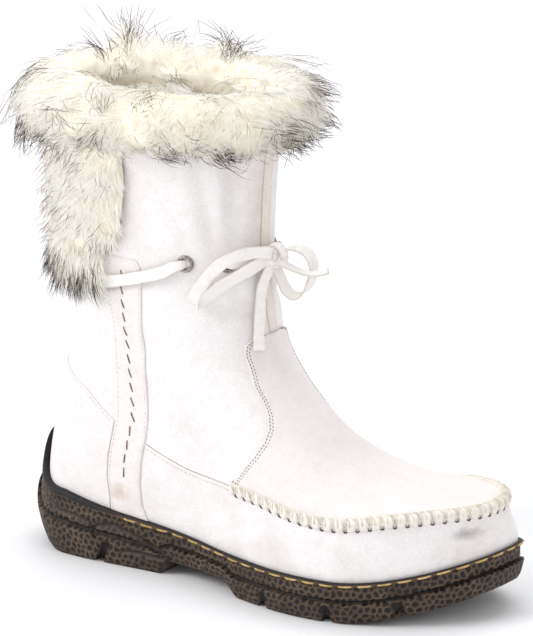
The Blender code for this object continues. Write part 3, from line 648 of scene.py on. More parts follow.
def wall_loop(turn, level):
    """One loop of the lower panel, between the footbed at level -1 and the seam at level 0."""
    flat = plan(turn, RIM_WALL + GAP)
    start = flat[:, 0]
    seam = upper_loop(turn, 0)
    low = bed(start) + GAP
    z = low + (seam[:, 2] - low) * (1 + level)
    rim = toe_lift(start) + rim_height(start)
    pull = ease((z - rim) / (seam[:, 2] - rim)) ** 1.2
    stand = np.column_stack([start + lean(start, z), flat[:, 1], z])
    top = np.column_stack([start + lean(start, seam[:, 2]), flat[:, 1], seam[:, 2]])
    return stand + (seam - top) * pull[:, None]


def outward_of(points):
    """Unit outward directions of a grid of loops."""
    around = np.roll(points, -1, axis=1) - np.roll(points, 1, axis=1)
    return unit(np.cross(around, np.gradient(points, axis=0)))


all_turns = np.arange(COLUMNS) * 2 * math.pi / COLUMNS
last_loops = [(wall_loop if level < 0 else upper_loop)(all_turns, level) for level in LEVELS]
last_points = np.array(last_loops)
last_outward = outward_of(last_points)


def on_last(turn, level, lift=0.0):
    """Points on the last at angles round it and levels up it, and the outward directions there."""
    turn, level = np.broadcast_arrays(np.asarray(turn, float), np.asarray(level, float))
    column = (turn % (2 * math.pi)) / (2 * math.pi) * COLUMNS
    row = np.clip(np.interp(level, LEVELS, np.arange(len(LEVELS))), 0, len(LEVELS) - 1.001)
    i, j = column.astype(int) % COLUMNS, row.astype(int)
    f, g = (column - column.astype(int))[..., None], (row - j)[..., None]

    def blend(grid):
        low = grid[j, i] * (1 - f) + grid[j, (i + 1) % COLUMNS] * f
        return low * (1 - g) + (grid[j + 1, i] * (1 - f) + grid[j + 1, (i + 1) % COLUMNS] * f) * g

    normal = unit(blend(last_outward))
    return blend(last_points) + normal * np.asarray(lift)[..., None], normal


def level_at(turn, z):
    """The level at which a column of the last reaches a height."""
    heights = on_last(np.full(len(LEVELS), turn), LEVELS)[0][:, 2]
    return float(np.interp(z, heights, LEVELS))


def around(turn, z, lift=0.0):
    """A point at an angle round the last and a height, and its outward direction."""
    point, normal = on_last(turn, level_at(turn, z), lift)
    return Vector(point), Vector(normal)


# Soft folds of the suede: their line as angles in degrees and heights, then half width and depth
FOLDS = [
    ([(128, 0.232), (134, 0.205), (139, 0.188)], 0.0050, 0.0012),
    ([(146, 0.236), (150, 0.212), (152, 0.190)], 0.0040, 0.0010),
    ([(112, 0.228), (118, 0.205), (124, 0.186)], 0.0060, 0.0008),
    ([(160, 0.150), (150, 0.158), (138, 0.160)], 0.0050, 0.0011),
    ([(168, 0.142), (155, 0.146), (140, 0.150)], 0.0045, 0.0009),
    ([(160, 0.118), (146, 0.124), (128, 0.130)], 0.0070, 0.0010),
    ([(60, 0.128), (84, 0.122), (104, 0.126)], 0.0080, 0.0009),
    ([(30, 0.138), (52, 0.134), (76, 0.140)], 0.0070, 0.0008),
    ([(104, 0.222), (108, 0.200)], 0.0080, 0.0008),
    ([(-30, 0.140), (-52, 0.134), (-80, 0.138)], 0.0070, 0.0009),
    ([(-112, 0.222), (-124, 0.200), (-130, 0.186)], 0.0060, 0.0010),
    ([(-160, 0.150), (-146, 0.156), (-130, 0.158)], 0.0050, 0.0010),
    ([(-60, 0.112), (-84, 0.108), (-110, 0.114)], 0.0080, 0.0008),
]
LACE_HEIGHT = 0.173
LACE_PULL = 0.0006
LACE_PULL_REACH = 0.012
PANEL_STEP = 0.0005


def fold_suede():
    """Troughs and the ridges beside them, the lace's pull, and the lower panel standing proud of the seam."""
    lift = np.zeros(last_points.shape[:2])
    for line, width, depth in FOLDS:
        places = [list(around(math.radians(a), z)[0]) for a, z in line]
        away = line_distance(last_points, places) / width
        lift += depth * (0.45 * np.exp(-((away - 1.7) / 0.9) ** 2) - np.exp(-away**2))
    pull = np.exp(-((last_points[..., 2] - LACE_HEIGHT) / LACE_PULL_REACH) ** 2)
    lift -= LACE_PULL * pull * (LEVELS > 6)[:, None]
    proud = ease((0.02 - LEVELS) / 0.04)[:, None] * ease((LEVELS + 0.9) / 0.2)[:, None]
    lift += PANEL_STEP * proud
    return last_points + last_outward * lift[..., None]


last_points = fold_suede()
last_outward = outward_of(last_points)


def add_group(name, inputs, outputs):
    """An empty shader node group with named sockets."""
    group = bpy.data.node_groups.new(name, "ShaderNodeTree")
    for key, kind, value in inputs:
        socket = group.interface.new_socket(key, in_out="INPUT", socket_type=kind)
        socket.default_value = value
    for key, kind in outputs:
        group.interface.new_socket(key, in_out="OUTPUT", socket_type=kind)
    return group, group.nodes.new("NodeGroupInput"), group.nodes.new("NodeGroupOutput")


SOIL_BROWN = (0.42, 0.36, 0.33)
FLEECE_CREAMS = [(0.3, (0.50, 0.44, 0.35)), (0.65, (0.78, 0.72, 0.62))]


def suede_group():
    """Nap, mottling and soil of suede, from its place on the boot."""
    group, given, made = add_group(
        "suede_nap",
        [("Vector", "NodeSocketVector", (0, 0, 0)), ("Color", "NodeSocketColor", (0.8, 0.8, 0.8, 1)),
         ("Shade", "NodeSocketColor", (0.6, 0.6, 0.6, 1)), ("Soil", "NodeSocketFloat", 0.3)],
        [("Color", "NodeSocketColor"), ("Height", "NodeSocketFloat")])
    place = given.outputs["Vector"]
    cloud = noise_at(group, place, 22.0, 6.0, Roughness=0.62)
    brushed = noise_at(group, place, 150.0, 5.0, Roughness=0.7)
    fibre = noise_at(group, place, 1100.0, 3.0, Roughness=0.7)
    shaded = add_math(group, "MULTIPLY", add_range(group, cloud, 0.45, 0.75), 0.26)
    soft = add_math(group, "MULTIPLY_ADD", add_range(group, brushed, 0.4, 0.8), 0.30, shaded)
    speck = add_math(group, "ADD", add_range(group, fibre, 0.42, 0.72, 0.0, 0.42), soft, clamp=True)
    napped = mix_colors(group, speck, given.outputs["Color"], given.outputs["Shade"])
    split = add_node(group, "ShaderNodeSeparateXYZ", {"Vector": place})
    low = add_range(group, split.outputs["Z"], 0.075, 0.018)
    dusty = add_range(group, noise_at(group, place, 34.0, 5.0), 0.48, 0.70)
    soiled = add_math(group, "MULTIPLY", add_math(group, "MULTIPLY", low, dusty), given.outputs["Soil"])
    group.links.new(mix_colors(group, soiled, napped, SOIL_BROWN), made.inputs["Color"])
    group.links.new(add_math(group, "MULTIPLY_ADD", fibre, 0.6, brushed), made.inputs["Height"])
    return group


nap = suede_group()


def suede_material(name, color, shade, stains_and_painted_shade=()):
    """Suede of one colour. A stain, or a patch of painted shade, is a place, a size, a colour and a strength.
    """
    gloss = {"Roughness": 0.92, "Specular_IOR_Level": 0.12, "Sheen_Weight": 0.25, "Sheen_Roughness": 0.5}
    material, tree, shader = new_material(name, **gloss)
    place = object_place(tree)
    skin = add_node(tree, "ShaderNodeGroup", node_tree=nap)
    tree.links.new(place, skin.inputs["Vector"])
    skin.inputs["Color"].default_value = (*color, 1)
    skin.inputs["Shade"].default_value = (*shade, 1)
    now = skin.outputs["Color"]
    # Each entry mixes the suede towards its colour round its place: a real scuff or stain, or a patch of
    # painted shade.
    for spot, size, tint, strength in stains_and_painted_shade:
        fit = {"Scale": [1 / b for b in size], "Location": [-a / b for a, b in zip(spot, size)]}
        moved = add_node(tree, "ShaderNodeMapping", {"Vector": place, **fit}).outputs["Vector"]
        length = add_node(tree, "ShaderNodeVectorMath", {0: moved}, operation="LENGTH").outputs["Value"]
        away = add_math(tree, "MULTIPLY_ADD", noise_at(tree, place, 260.0, 4.0), 1.1, length)
        now = mix_colors(tree, add_range(tree, away, 1.5, 0.55, 0.0, strength), now, tint)
    tree.links.new(now, shader.inputs["Base Color"])
    add_bump(tree, shader, skin.outputs["Height"], 0.45, 0.0005)
    return material


def lining_material():
    """Cream fleece inside the boot."""
    gloss = {"Roughness": 1.0, "Specular_IOR_Level": 0.05, "Sheen_Weight": 0.3}
    material, tree, shader = new_material("fleece_lining", **gloss)
    curl = noise_at(tree, object_place(tree), 330.0, 5.0, Distortion=0.8)
    tree.links.new(paint_ramp(tree, curl, FLEECE_CREAMS), shader.inputs["Base Color"])
    add_bump(tree, shader, curl, 0.9, 0.0015)
    return material


def add_wall(piece, thickness, material_offset=0):
    """Give a sheet a thickness, inwards from its outer face."""
    wall = piece.modifiers.new("wall", "SOLIDIFY")
    wall.thickness = thickness
    wall.offset = -1
    wall.material_offset = material_offset


SUEDE_WHITE = (0.83, 0.81, 0.808)
SUEDE_SHADE = (0.62, 0.565, 0.55)
SCUFFS_AND_PAINTED_SHADE = [
    # place, size, colour, strength
    # A real scuff on the toe.
    ((0.2335, -0.0040, 0.0480), (0.010, 0.013, 0.0042), (0.27, 0.245, 0.255), 0.80),
    # Painted shade down the front of the shaft, where it turns away from the light.
    ((0.1055, -0.0040, 0.2050), (0.012, 0.012, 0.045), (0.58, 0.49, 0.43), 0.55),
    # Painted shade beside it, on the front of the shaft's outer side.
    ((0.0990, -0.0210, 0.2200), (0.008, 0.007, 0.030), (0.56, 0.50, 0.48), 0.40),
    # Painted shade over the side of the toe that faces away from the light.
    ((0.2400, -0.0100, 0.0420), (0.012, 0.030, 0.024), (0.60, 0.52, 0.46), 0.45),
]
suede = suede_material("suede_shaft", SUEDE_WHITE, SUEDE_SHADE, SCUFFS_AND_PAINTED_SHADE)
upper = lay_sheet("upper_suede", in_frame(last_points), last_outward, wrap=True)
upper.data.materials.append(suede)
upper.data.materials.append(lining_material())
add_wall(upper, UPPER_WALL, 1)
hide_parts("upper")


# The vamp
# A suede panel over the instep and the toes, its rear edge cut in a curve and sewn down with two rows.
EDGE_STEPS = (0.0, 0.00012, 0.0003, 0.0006, 0.0011, 0.0017, 0.0022, 0.0027, 0.0035)
EDGE_ROUND = 0.0007
STITCH_DIP_AT = 0.0019
PANEL_LIFT = 0.0001
PANEL_WALL = 0.0009
VAMP_WHITE = (0.79, 0.755, 0.745)
VAMP_EDGE = [
    # height, along
    (0.150, 0.505),
    (0.190, 0.505),
    (0.240, 0.510),
    (0.284, 0.538),
    (0.310, 0.554),
    (0.338, 0.562),
    (0.362, 0.560),
    (0.384, 0.551),
    (0.413, 0.534),
    (0.441, 0.515),
    (0.474, 0.497),
    (0.500, 0.486),
    (0.520, 0.487),
    (0.533, 0.497),
    (0.545, 0.515),
]


def edge_profile(away, rise):
    """The lift of a panel near its cut edge: a rounded edge, and the dip of the stitches inside it."""
    edge = np.sqrt(np.clip(1 - (1 - np.clip(away / EDGE_ROUND, 0, 1)) ** 2, 0, 1))
    dip = 0.12 * np.exp(-((away - STITCH_DIP_AT) / EDGE_ROUND) ** 2)
    return PANEL_LIFT + rise * (edge - dip)


def lay_panel(name, rows, middle, raised=("left", "right"), rise=0.0011):
    """A panel on the last. Each row is a line of angles and levels from its left edge to its right edge."""
    turns, levels, aways, widths = [], [], [], []
    for turn, level in rows:
        points = on_last(turn, level)[0]
        arc = arc_along(points)
        steps = np.array(EDGE_STEPS) * min(1, arc[-1] / (3 * EDGE_STEPS[-1]))
        inner = np.linspace(steps[-1], arc[-1] - steps[-1], middle)[1:-1]
        at = np.concatenate([steps, inner, arc[-1] - steps[::-1]])
        turns.append(np.interp(at, arc, turn))
        levels.append(np.interp(at, arc, level))
        aways.append(at)
        widths.append(arc[-1])
    turns, levels, left = np.array(turns), np.array(levels), np.array(aways)
    right = np.array(widths)[:, None] - left
    flat = on_last(turns, levels)[0]
    down = np.cumsum(np.linalg.norm(np.diff(flat, axis=0), axis=2), axis=0)
    down = np.concatenate([np.zeros((1, flat.shape[1])), down])
    sides = {"left": left, "right": right, "first": down, "last": down[-1:] - down}
    away = np.min([sides[side] for side in raised], axis=0)
    points, outward = on_last(turns, levels, edge_profile(away, rise))
    panel = lay_sheet(name, in_frame(points), outward)
    add_wall(panel, PANEL_WALL)
    return panel, (turns, levels, left, right, rise)


def inset_line(lines, side, distance):
    """A line inside a panel's left or right edge, as points and outward directions."""
    turns, levels, left, right, rise = lines
    line = []
    for turn, level, away in zip(turns, levels, left if side == "left" else right):
        order = np.argsort(away)
        line.append([np.interp(distance, away[order], row[order]) for row in (turn, level)])
    return on_last(*np.array(line).T, rise)


def vamp_rows():
    fine = np.linspace(0, 2.4, 700)
    table = np.array(VAMP_EDGE)
    rows = []
    for level in np.concatenate([np.linspace(-0.02, 8.2, 66), np.linspace(8.25, 8.78, 9)]):
        limits = []
        for side in (-1, 1):
            points = on_last(math.pi + side * fine, np.full(len(fine), level))[0]
            ahead = points[:, 0] / LENGTH - np.interp(points[:, 2] / COLLAR, table[:, 0], table[:, 1])
            outside = np.nonzero(ahead < 0)[0]
            k = outside[0] if len(outside) else len(fine) - 1
            if k == 0:
                limits.append(0.0)
            else:
                limits.append(side * np.interp(0, [ahead[k], ahead[k - 1]], [fine[k], fine[k - 1]]))
        if limits[1] - limits[0] > 0.02:
            rows.append((math.pi + np.linspace(*limits, 90), np.full(90, level)))
    return rows


vamp, vamp_lines = lay_panel("vamp_suede", vamp_rows(), 60)
vamp.data.materials.append(suede_material("suede_vamp", VAMP_WHITE, SUEDE_SHADE, SCUFFS_AND_PAINTED_SHADE[:1]))
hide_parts("vamp")


# The stitches of the vamp
# Two rows of fine machine stitches inside the vamp's rear edge on both sides of the boot.
VAMP_SEAM_INSETS = (0.0013, 0.0029)
VAMP_STITCH = 0.0019
FINE_STITCH = 0.0026
EDGE_SEAM_INSET = 0.0013


def points_at(at, arc, points):
    """Points at distances along a line."""
    return np.stack([np.interp(at, arc, points[:, k]) for k in range(3)], -1)


def even_points(points, normals, pitch):
    """Places a pitch apart along a line, with the line's direction and its outward direction."""
    arc = arc_along(points)
    at = np.arange(pitch / 2, arc[-1], pitch)
    place = points_at(at, arc, points)
    ahead = points_at(at + pitch * 0.4, arc, points) - place
    ahead /= np.linalg.norm(ahead, axis=1)[:, None] + 1e-9
    return place, ahead, unit(points_at(at, arc, normals))


def sew(name, threads, radius, material, taper=False):
    """Threads as round tubes through their points, made one mesh."""
    curve = bpy.data.curves.new(name, "CURVE")
    curve.dimensions = "3D"
    curve.bevel_depth = radius
    curve.bevel_resolution = 1
    curve.use_fill_caps = True
    for points in threads:
        spline = curve.splines.new("POLY")
        spline.points.add(len(points) - 1)
        for point, place in zip(spline.points, points):
            point.co = (*in_frame(np.array(place)), 1)
        if taper:
            spline.points[0].radius = 0.5
            spline.points[-1].radius = 0.5
    guide = bpy.data.objects.new(name + "_guide", curve)
    bpy.context.scene.collection.objects.link(guide)
    mesh = bpy.data.meshes.new_from_object(guide.evaluated_get(bpy.context.evaluated_depsgraph_get()))
    bpy.data.objects.remove(guide)
    mesh.shade_smooth()
    piece = bpy.data.objects.new(name, mesh)
    bpy.context.scene.collection.objects.link(piece)
    mesh.materials.clear()
    mesh.materials.append(material)
    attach(piece, "root")
    return piece


def running_stitches(lines, pitch, cover, rise, sink):
    """Short stitches along lines, each dipping into the leather at its ends."""
    threads = []
    for points, normals in lines:
        for place, ahead, normal in zip(*even_points(points, normals, pitch)):
            half = ahead * pitch * cover / 2
            top = place + normal * rise
            below = place - normal * sink
            threads.append([below - half, top - half * 0.7, top + half * 0.7, below + half])
    return threads


def thread_material(name, dark, light, rough=0.8):
    """Waxed thread: two tones that wander along the seam."""
    material, tree, shader = new_material(name, Roughness=rough, Specular_IOR_Level=0.25)
    place = object_place(tree)
    tone = noise_at(tree, place, 240.0, 3.0)
    tree.links.new(paint_ramp(tree, tone, [(0.35, dark), (0.65, light)]), shader.inputs["Base Color"])
    twist = add_node(tree, "ShaderNodeTexWave", {"Vector": place, "Scale": 900.0, "Distortion": 2.0})
    add_bump(tree, shader, twist.outputs["Fac"], 0.3, 0.0002)
    return material


grey_thread = thread_material("grey_thread", (0.085, 0.07, 0.06), (0.24, 0.205, 0.185))
vamp_seams = [inset_line(vamp_lines, side, away) for side in ("left", "right") for away in VAMP_SEAM_INSETS]
vamp_stitches = running_stitches(vamp_seams, VAMP_STITCH, 0.50, 0.00005, 0.0006)
sew("vamp_stitches", vamp_stitches, 0.00024, grey_thread)


# The heel counter
# A suede panel round the back of the heel. It goes down into the cup sole and ends below a sewn seam.
STRIP_EDGES = [
    # height, rear along, front along
    (0.080, 0.209, 0.300),
    (0.110, 0.209, 0.295),
    (0.142, 0.209, 0.281),
    (0.190, 0.203, 0.277),
    (0.238, 0.206, 0.281),
    (0.285, 0.216, 0.290),
    (0.325, 0.224, 0.294),
    (0.390, 0.219, 0.294),
    (0.503, 0.218, 0.298),
    (0.553, 0.219, 0.300),
    (0.640, 0.219, 0.301),
    (0.672, 0.222, 0.298),
    (0.690, 0.232, 0.287),
]
PANEL_DEPTH = 0.055
COUNTER_RISE = 0.0006
TOP_RAISED = ("left", "right", "last")
COUNTER_WHITE = (0.805, 0.78, 0.775)


def counter_rows():
    table = np.array(STRIP_EDGES)
    fine = np.linspace(0.05, 1.6, 300)
    rows = []
    for level in np.concatenate([np.linspace(-0.97, -0.09, 30), -np.array(EDGE_STEPS[::-1]) / PANEL_DEPTH]):
        limits = []
        for side in (-1, 1):
            points = on_last(side * fine, np.full(len(fine), level))[0]
            edge = LENGTH * np.interp(points[:, 2] / COLLAR, table[:, 0], table[:, 1])
            limits.append(side * np.interp(0, points[:, 0] - edge + 2 * GAP, fine))
        rows.append((np.linspace(*limits, 90), np.full(90, level)))
    return rows


counter, counter_lines = lay_panel("counter_suede", counter_rows(), 70, TOP_RAISED, COUNTER_RISE)
counter.data.materials.append(suede_material("suede_counter", COUNTER_WHITE, SUEDE_SHADE))
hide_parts("heel_counter")


def beside_seam(turn, distance):
    """The level at a signed distance up or down one column from the seam round the boot."""
    levels = np.linspace(-0.5, 2.5, 121)
    points = on_last(np.full(len(levels), turn), levels)[0]
    arc = arc_along(points)
    return np.interp(np.asarray(distance) + np.interp(0, levels, arc), arc, levels)


def seam_line(first, last, distance, lift, count=120):
    """A line beside the seam round the boot, from one angle to another."""
    turns = np.linspace(first, last, count)
    levels = np.array([float(beside_seam(t, distance)) for t in turns])
    return on_last(turns, levels, lift)


cream_thread = thread_material("cream_thread", (0.60, 0.555, 0.47), (0.79, 0.755, 0.68))
counter_top = counter_lines[0][-1]
counter_seam = seam_line(counter_top[0] + 0.02, counter_top[-1] - 0.02, -STITCH_DIP_AT, COUNTER_RISE)
counter_stitches = running_stitches([counter_seam], FINE_STITCH, 0.6, 0.0001, 0.0005)
sew("counter_stitches", counter_stitches, 0.00022, cream_thread)


# The side strip
# A narrow suede strip up the outer side, with a line of slanting brown hand stitches down its middle.
STRIP_STITCH_LENGTH = 0.0058
STRIP_STITCH_PITCH = 0.0080
STRIP_STITCH_INSET = 0.0105
STRIP_STITCH_SHAPE = [
    # share of its half length, rise from the suede
    (-1.00, -0.0007),
    (-0.75, 0.0002),
    (0.00, 0.0003),
    (0.75, 0.0002),
    (1.00, -0.0007),
]
STRIP_WHITE = (0.815, 0.79, 0.782)
STRIP_SHADE = (0.60, 0.54, 0.505)
STRIP_STAIN = [((0.0330, -0.0304, 0.0405), (0.009, 0.012, 0.0065), (0.50, 0.37, 0.26), 0.65)]


def row_across(z, turns, axis, edges, count):
    """Angles and levels across a panel at one height, between two edges along an axis."""
    levels = np.array([level_at(t, z) for t in turns])
    limits = np.interp(edges, on_last(turns, levels)[0][:, axis], turns)
    line = np.linspace(*limits, count)
    return line, np.interp(line, turns, levels)


def strip_rows():
    table = np.array(STRIP_EDGES)
    top = table[-1, 0] - 0.004
    heights = np.concatenate([np.linspace(0.098, 0.655, 66), np.linspace(0.660, top, 12)]) * COLLAR
    rows = []
    for z in heights:
        edges = [LENGTH * np.interp(z / COLLAR, table[:, 0], table[:, column]) for column in (1, 2)]
        rows.append(row_across(z, np.linspace(0.30, 1.9, 26), 0, edges, 24))
    return rows


strip, strip_lines = lay_panel("strip_suede", strip_rows(), 12, TOP_RAISED)
strip.data.materials.append(suede_material("suede_strip", STRIP_WHITE, STRIP_SHADE, STRIP_STAIN))
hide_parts("side_strip")
brown_thread = thread_material("brown_thread", (0.13, 0.085, 0.05), (0.30, 0.21, 0.13), 0.6)


def strip_threads():
    """Slanting stitches down the strip. The lowest ones lean the other way."""
    points, normals = inset_line(strip_lines, "left", STRIP_STITCH_INSET)
    keep = (points[:, 2] > 0.048) & (points[:, 2] < 0.166)
    places = even_points(points[keep], normals[keep], STRIP_STITCH_PITCH)
    threads = []
    for k, (place, ahead, normal) in enumerate(zip(*places)):
        slant = 0.36 if k > 3 else 0.02 + 0.09 * k
        along = ahead + np.cross(normal, ahead) * (slant + 0.05 * math.sin(5.1 * k))
        half = unit(along) * STRIP_STITCH_LENGTH / 2
        threads.append([place + half * share + normal * rise for share, rise in STRIP_STITCH_SHAPE])
    return threads


sew("strip_stitches", strip_threads(), 0.00042, brown_thread)
strip_seams = [inset_line(strip_lines, side, EDGE_SEAM_INSET) for side in ("left", "right")]
strip_edge_stitches = running_stitches(strip_seams, FINE_STITCH, 0.6, 0.00005, 0.0005)
sew("strip_edge_stitches", strip_edge_stitches, 0.0002, cream_thread)


# The front seam
# A narrow suede band over the seam up the front of the shaft, from the vamp to the fur.
FRONT_SEAM_HALF = 0.0035
FRONT_CREAM = (0.79, 0.74, 0.68)
FRONT_SHADE = (0.60, 0.52, 0.44)


def front_seam_rows():
    turns = math.pi + np.linspace(-0.5, 0.5, 21)
    edges = (-FRONT_SEAM_HALF, FRONT_SEAM_HALF)
    return [row_across(z, turns, 1, edges, 12) for z in np.linspace(0.540, 0.950, 60) * COLLAR]


front_seam, front_seam_lines = lay_panel("front_seam_suede", front_seam_rows(), 4)
front_seam.data.materials.append(suede_material("suede_front_seam", FRONT_CREAM, FRONT_SHADE))
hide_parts("front_seam")
front_rows = [inset_line(front_seam_lines, side, EDGE_SEAM_INSET) for side in ("left", "right")]
front_stitches = running_stitches(front_rows, 0.0024, 0.6, 0.00005, 0.0005)
sew("front_seam_stitches", front_stitches, 0.0002, cream_thread)


# The moccasin seam
# The leather edge that joins the vamp to the lower panel round the toe. Thick cream thread whips over it
# and gathers it into puckers.
SEAM_WIDTH = 0.0065
SEAM_START = 0.1408
PUCKER = 0.0064
SEAM_WALL = 0.0008
SEAM_ACROSS = (-1.0, -0.98, -0.94, -0.88, -0.8, -0.7, -0.58, -0.45, -0.3, -0.15,
               0, 0.15, 0.3, 0.45, 0.6, 0.74, 0.86, 0.93, 0.97, 1.0)
SEAM_CREAMS = [(0.3, (0.74, 0.70, 0.64)), (0.7, (0.83, 0.80, 0.76))]
# Painted shade in the valleys between the puckers.
CREASE_SHADE_BROWN = (0.42, 0.34, 0.25)
# Painted shadow in the stitch holes along the seam's lower edge.
HOLE_SHADOW_BROWN = (0.055, 0.045, 0.035)
WHIP_STRANDS = [
    # place at the foot, place at the top, in shares of a pucker, and where it starts across the edge
    (0.00, -0.24, -0.80),
    (0.04, 0.02, -0.82),
    (0.08, 0.27, -0.78),
    (0.42, 0.48, -0.55),
]
SEAM_PROFILE = [
    # across as a share of the half width, lift in millimetres
    (-1.00, 0.1),
    (-0.95, 0.8),
    (-0.80, 1.5),
    (-0.50, 2.1),
    (-0.10, 2.5),
    (0.40, 2.6),
    (0.75, 2.5),
    (0.93, 2.2),
    (1.00, 1.2),
]


def seam_columns():
    """Angles at even steps along the seam, with their distance along it."""
    fine = np.linspace(0.6, math.pi, 400)
    x = on_last(fine, np.zeros(400))[0][:, 0]
    x_inner = on_last(-fine, np.zeros(400))[0][:, 0]
    inner_end = 2 * math.pi - np.interp(SEAM_START, x_inner, fine)
    turns = np.linspace(np.interp(SEAM_START, x, fine), inner_end, 1500)
    points = on_last(turns, np.zeros(1500))[0]
    arc = arc_along(points)
    at = np.linspace(0, arc[-1], int(arc[-1] / 0.00042))
    return np.interp(at, arc, turns), at


def seam_lift(along, across):
    """Lift of the leather edge at a distance along the seam and a share across it."""
    table = np.array(SEAM_PROFILE)
    phase = (along / PUCKER) % 1 - 0.5
    valley = np.exp(-(phase / 0.15) ** 2)
    lobe = np.cos(phase * 2 * math.pi) * 0.5
    low = ease((0.75 - across) / 1.1)
    lift = np.interp(across, table[:, 0], table[:, 1]) / 1000
    return lift * (1 - 0.34 * valley * low) - 0.0002 * lobe * low, valley * low


def make_moc_seam():
    turns, along = seam_columns()
    s, u = np.meshgrid(along, SEAM_ACROSS)
    lift, valley = seam_lift(s, u)
    phase = (s / PUCKER) % 1 - 0.5
    distance = u * SEAM_WIDTH / 2 - 0.0007 * (1 - valley) * ease((-0.3 - u) / 0.6)
    levels = np.array([beside_seam(t, distance[:, k]) for k, t in enumerate(turns)]).T
    # Each stitch hole's dip in the edge; the same mask also paints its shadow.
    hole = np.exp(-(phase * PUCKER / 0.0009) ** 2 - ((u + 0.80) / 0.20) ** 2)
    points, outward = on_last(np.broadcast_to(turns, levels.shape), levels, lift - 0.0012 * hole)
    seam = lay_sheet("seam_edge", in_frame(points), outward)
    return seam, points, hole, valley, turns, along


def seam_material():
    material, tree, shader = new_material("seam_leather", Roughness=0.72, Specular_IOR_Level=0.3)
    grain = noise_at(tree, object_place(tree), 420.0, 4.0)
    # Painted shade: the valleys between the puckers are mixed towards brown.
    soft = add_math(tree, "MULTIPLY", read_mark(tree, "crease"), 0.40)
    shaded = mix_colors(tree, soft, paint_ramp(tree, grain, SEAM_CREAMS), CREASE_SHADE_BROWN)
    # Painted shadow: the dips of the stitch holes are coloured dark brown.
    tree.links.new(mix_colors(tree, read_mark(tree, "hole"), shaded, HOLE_SHADOW_BROWN), shader.inputs["Base Color"])
    add_bump(tree, shader, grain, 0.35, 0.0003)
    return material


def whip_threads(turns, along):
    """Strands over the edge, three from each lower hole and one on each pucker, with dark tubes of painted
    shadow at their holes and in the notches.
    """
    threads, marks, notches = [], [], []
    for k in range(int(along[-1] / PUCKER)):
        middle = (k + 0.5) * PUCKER
        for low, high, start in WHIP_STRANDS:
            sway = 0.06 * math.sin(2.9 * k + 7 * high)
            line = []
            for share in np.linspace(0, 1, 9):
                u = start + (1.04 - start) * share
                s = middle + PUCKER * (low + (high + sway - low) * share ** 0.8)
                if s >= along[-1]:
                    break
                turn = float(np.interp(s, along, turns))
                sink = -0.0011 * (share == 0) - 0.0008 * (share == 1)
                lift = float(seam_lift(s, np.array(min(u, 0.99)))[0]) + 0.00012 + sink
                level = float(beside_seam(turn, u * SEAM_WIDTH / 2))
                line.append(on_last(np.array([turn]), np.array([level]), lift)[0][0])
            if len(line) == 9:
                threads.append(line)
                edge, out = line[-1], line[-1] - line[-2]
                # A short dark tube of painted shadow where the strand goes into its hole.
                marks.append([edge + out * 0.15, edge + out * 0.50])
        # A dark curve of painted shadow in the notch under each pucker.
        notch = []
        for share in np.linspace(-1, 1, 7):
            turn = float(np.interp(middle + share * 0.0011, along, turns))
            level = float(beside_seam(turn, -SEAM_WIDTH / 2 - 0.0010 + 0.0009 * share**2))
            notch.append(on_last(np.array([turn]), np.array([level]), 0.0002)[0][0])
        notches.append(notch)
    return threads, marks, notches


seam_edge, seam_points, seam_hole_shadow, seam_valley, seam_turns, seam_along = make_moc_seam()
mark_vertices(seam_edge, seam_points, hole=seam_hole_shadow, crease=seam_valley)
seam_edge.data.materials.append(seam_material())
add_wall(seam_edge, SEAM_WALL)
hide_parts("moc_seam")
# Dark tubes of painted shadow in the stitch holes and in the notches under the puckers.
hole_shadow_thread = thread_material("hole_shadow_thread", (0.07, 0.055, 0.045), (0.14, 0.11, 0.09))
whips, whip_hole_shadows, whip_notch_shadows = whip_threads(seam_turns, seam_along)
sew("whip_stitches", whips, 0.00042, cream_thread, taper=True)
sew("whip_hole_shadows", whip_hole_shadows, 0.00028, hole_shadow_thread)
sew("whip_notch_shadows", whip_notch_shadows, 0.00042, hole_shadow_thread, taper=True)


# The side seams
# Between the side strip and the vamp, the lower panel's edge is a fine dark tube of painted shadow over a row
# of cream stitches. The inner side has the same line.
def side_seam_ends():
    """The angles where the side seam leaves the strip and meets the moccasin seam."""
    fine = np.linspace(0.6, 2.4, 300)
    x = on_last(fine, np.zeros(300))[0][:, 0]
    front = LENGTH * read_table(STRIP_EDGES, 2, 0.25)
    return float(np.interp(front, x, fine)) + 0.02, float(np.interp(SEAM_START, x, fine)) - 0.005


seam_from, seam_to = side_seam_ends()
seam_ends = [(seam_from, seam_to), (float(counter_top[0]) - 0.01, -seam_to)]
rows_below = [seam_line(start, stop, -0.0021, 0.0002) for start, stop in seam_ends]
side_stitches = running_stitches(rows_below, FINE_STITCH, 0.6, 0.0001, 0.0005)
sew("side_seam_stitches", side_stitches, 0.00023, cream_thread)
# A thin dark tube of painted shadow along the panel's edge, in the grey thread of the vamp's stitches.
seam_shadow_lines = [seam_line(start, stop, 0.0001, 0.0)[0] for start, stop in seam_ends]
sew("side_seam_shadow_lines", seam_shadow_lines, 0.00016, grey_thread)


# The sole's stitches
# Long waxed gold stitches on the ledge below the rim, round the front of the boot.
SOLE_STITCH_LEVEL = 0.925
SOLE_STITCH_INSET = 0.26
SOLE_STITCH_PITCH = 0.0104
SOLE_STITCH_START = 0.066
SOLE_STITCH_RISE = np.array([-1.0, 0.1, 0.35, 0.4, 0.4, 0.35, 0.1, -1.0]) / 1000


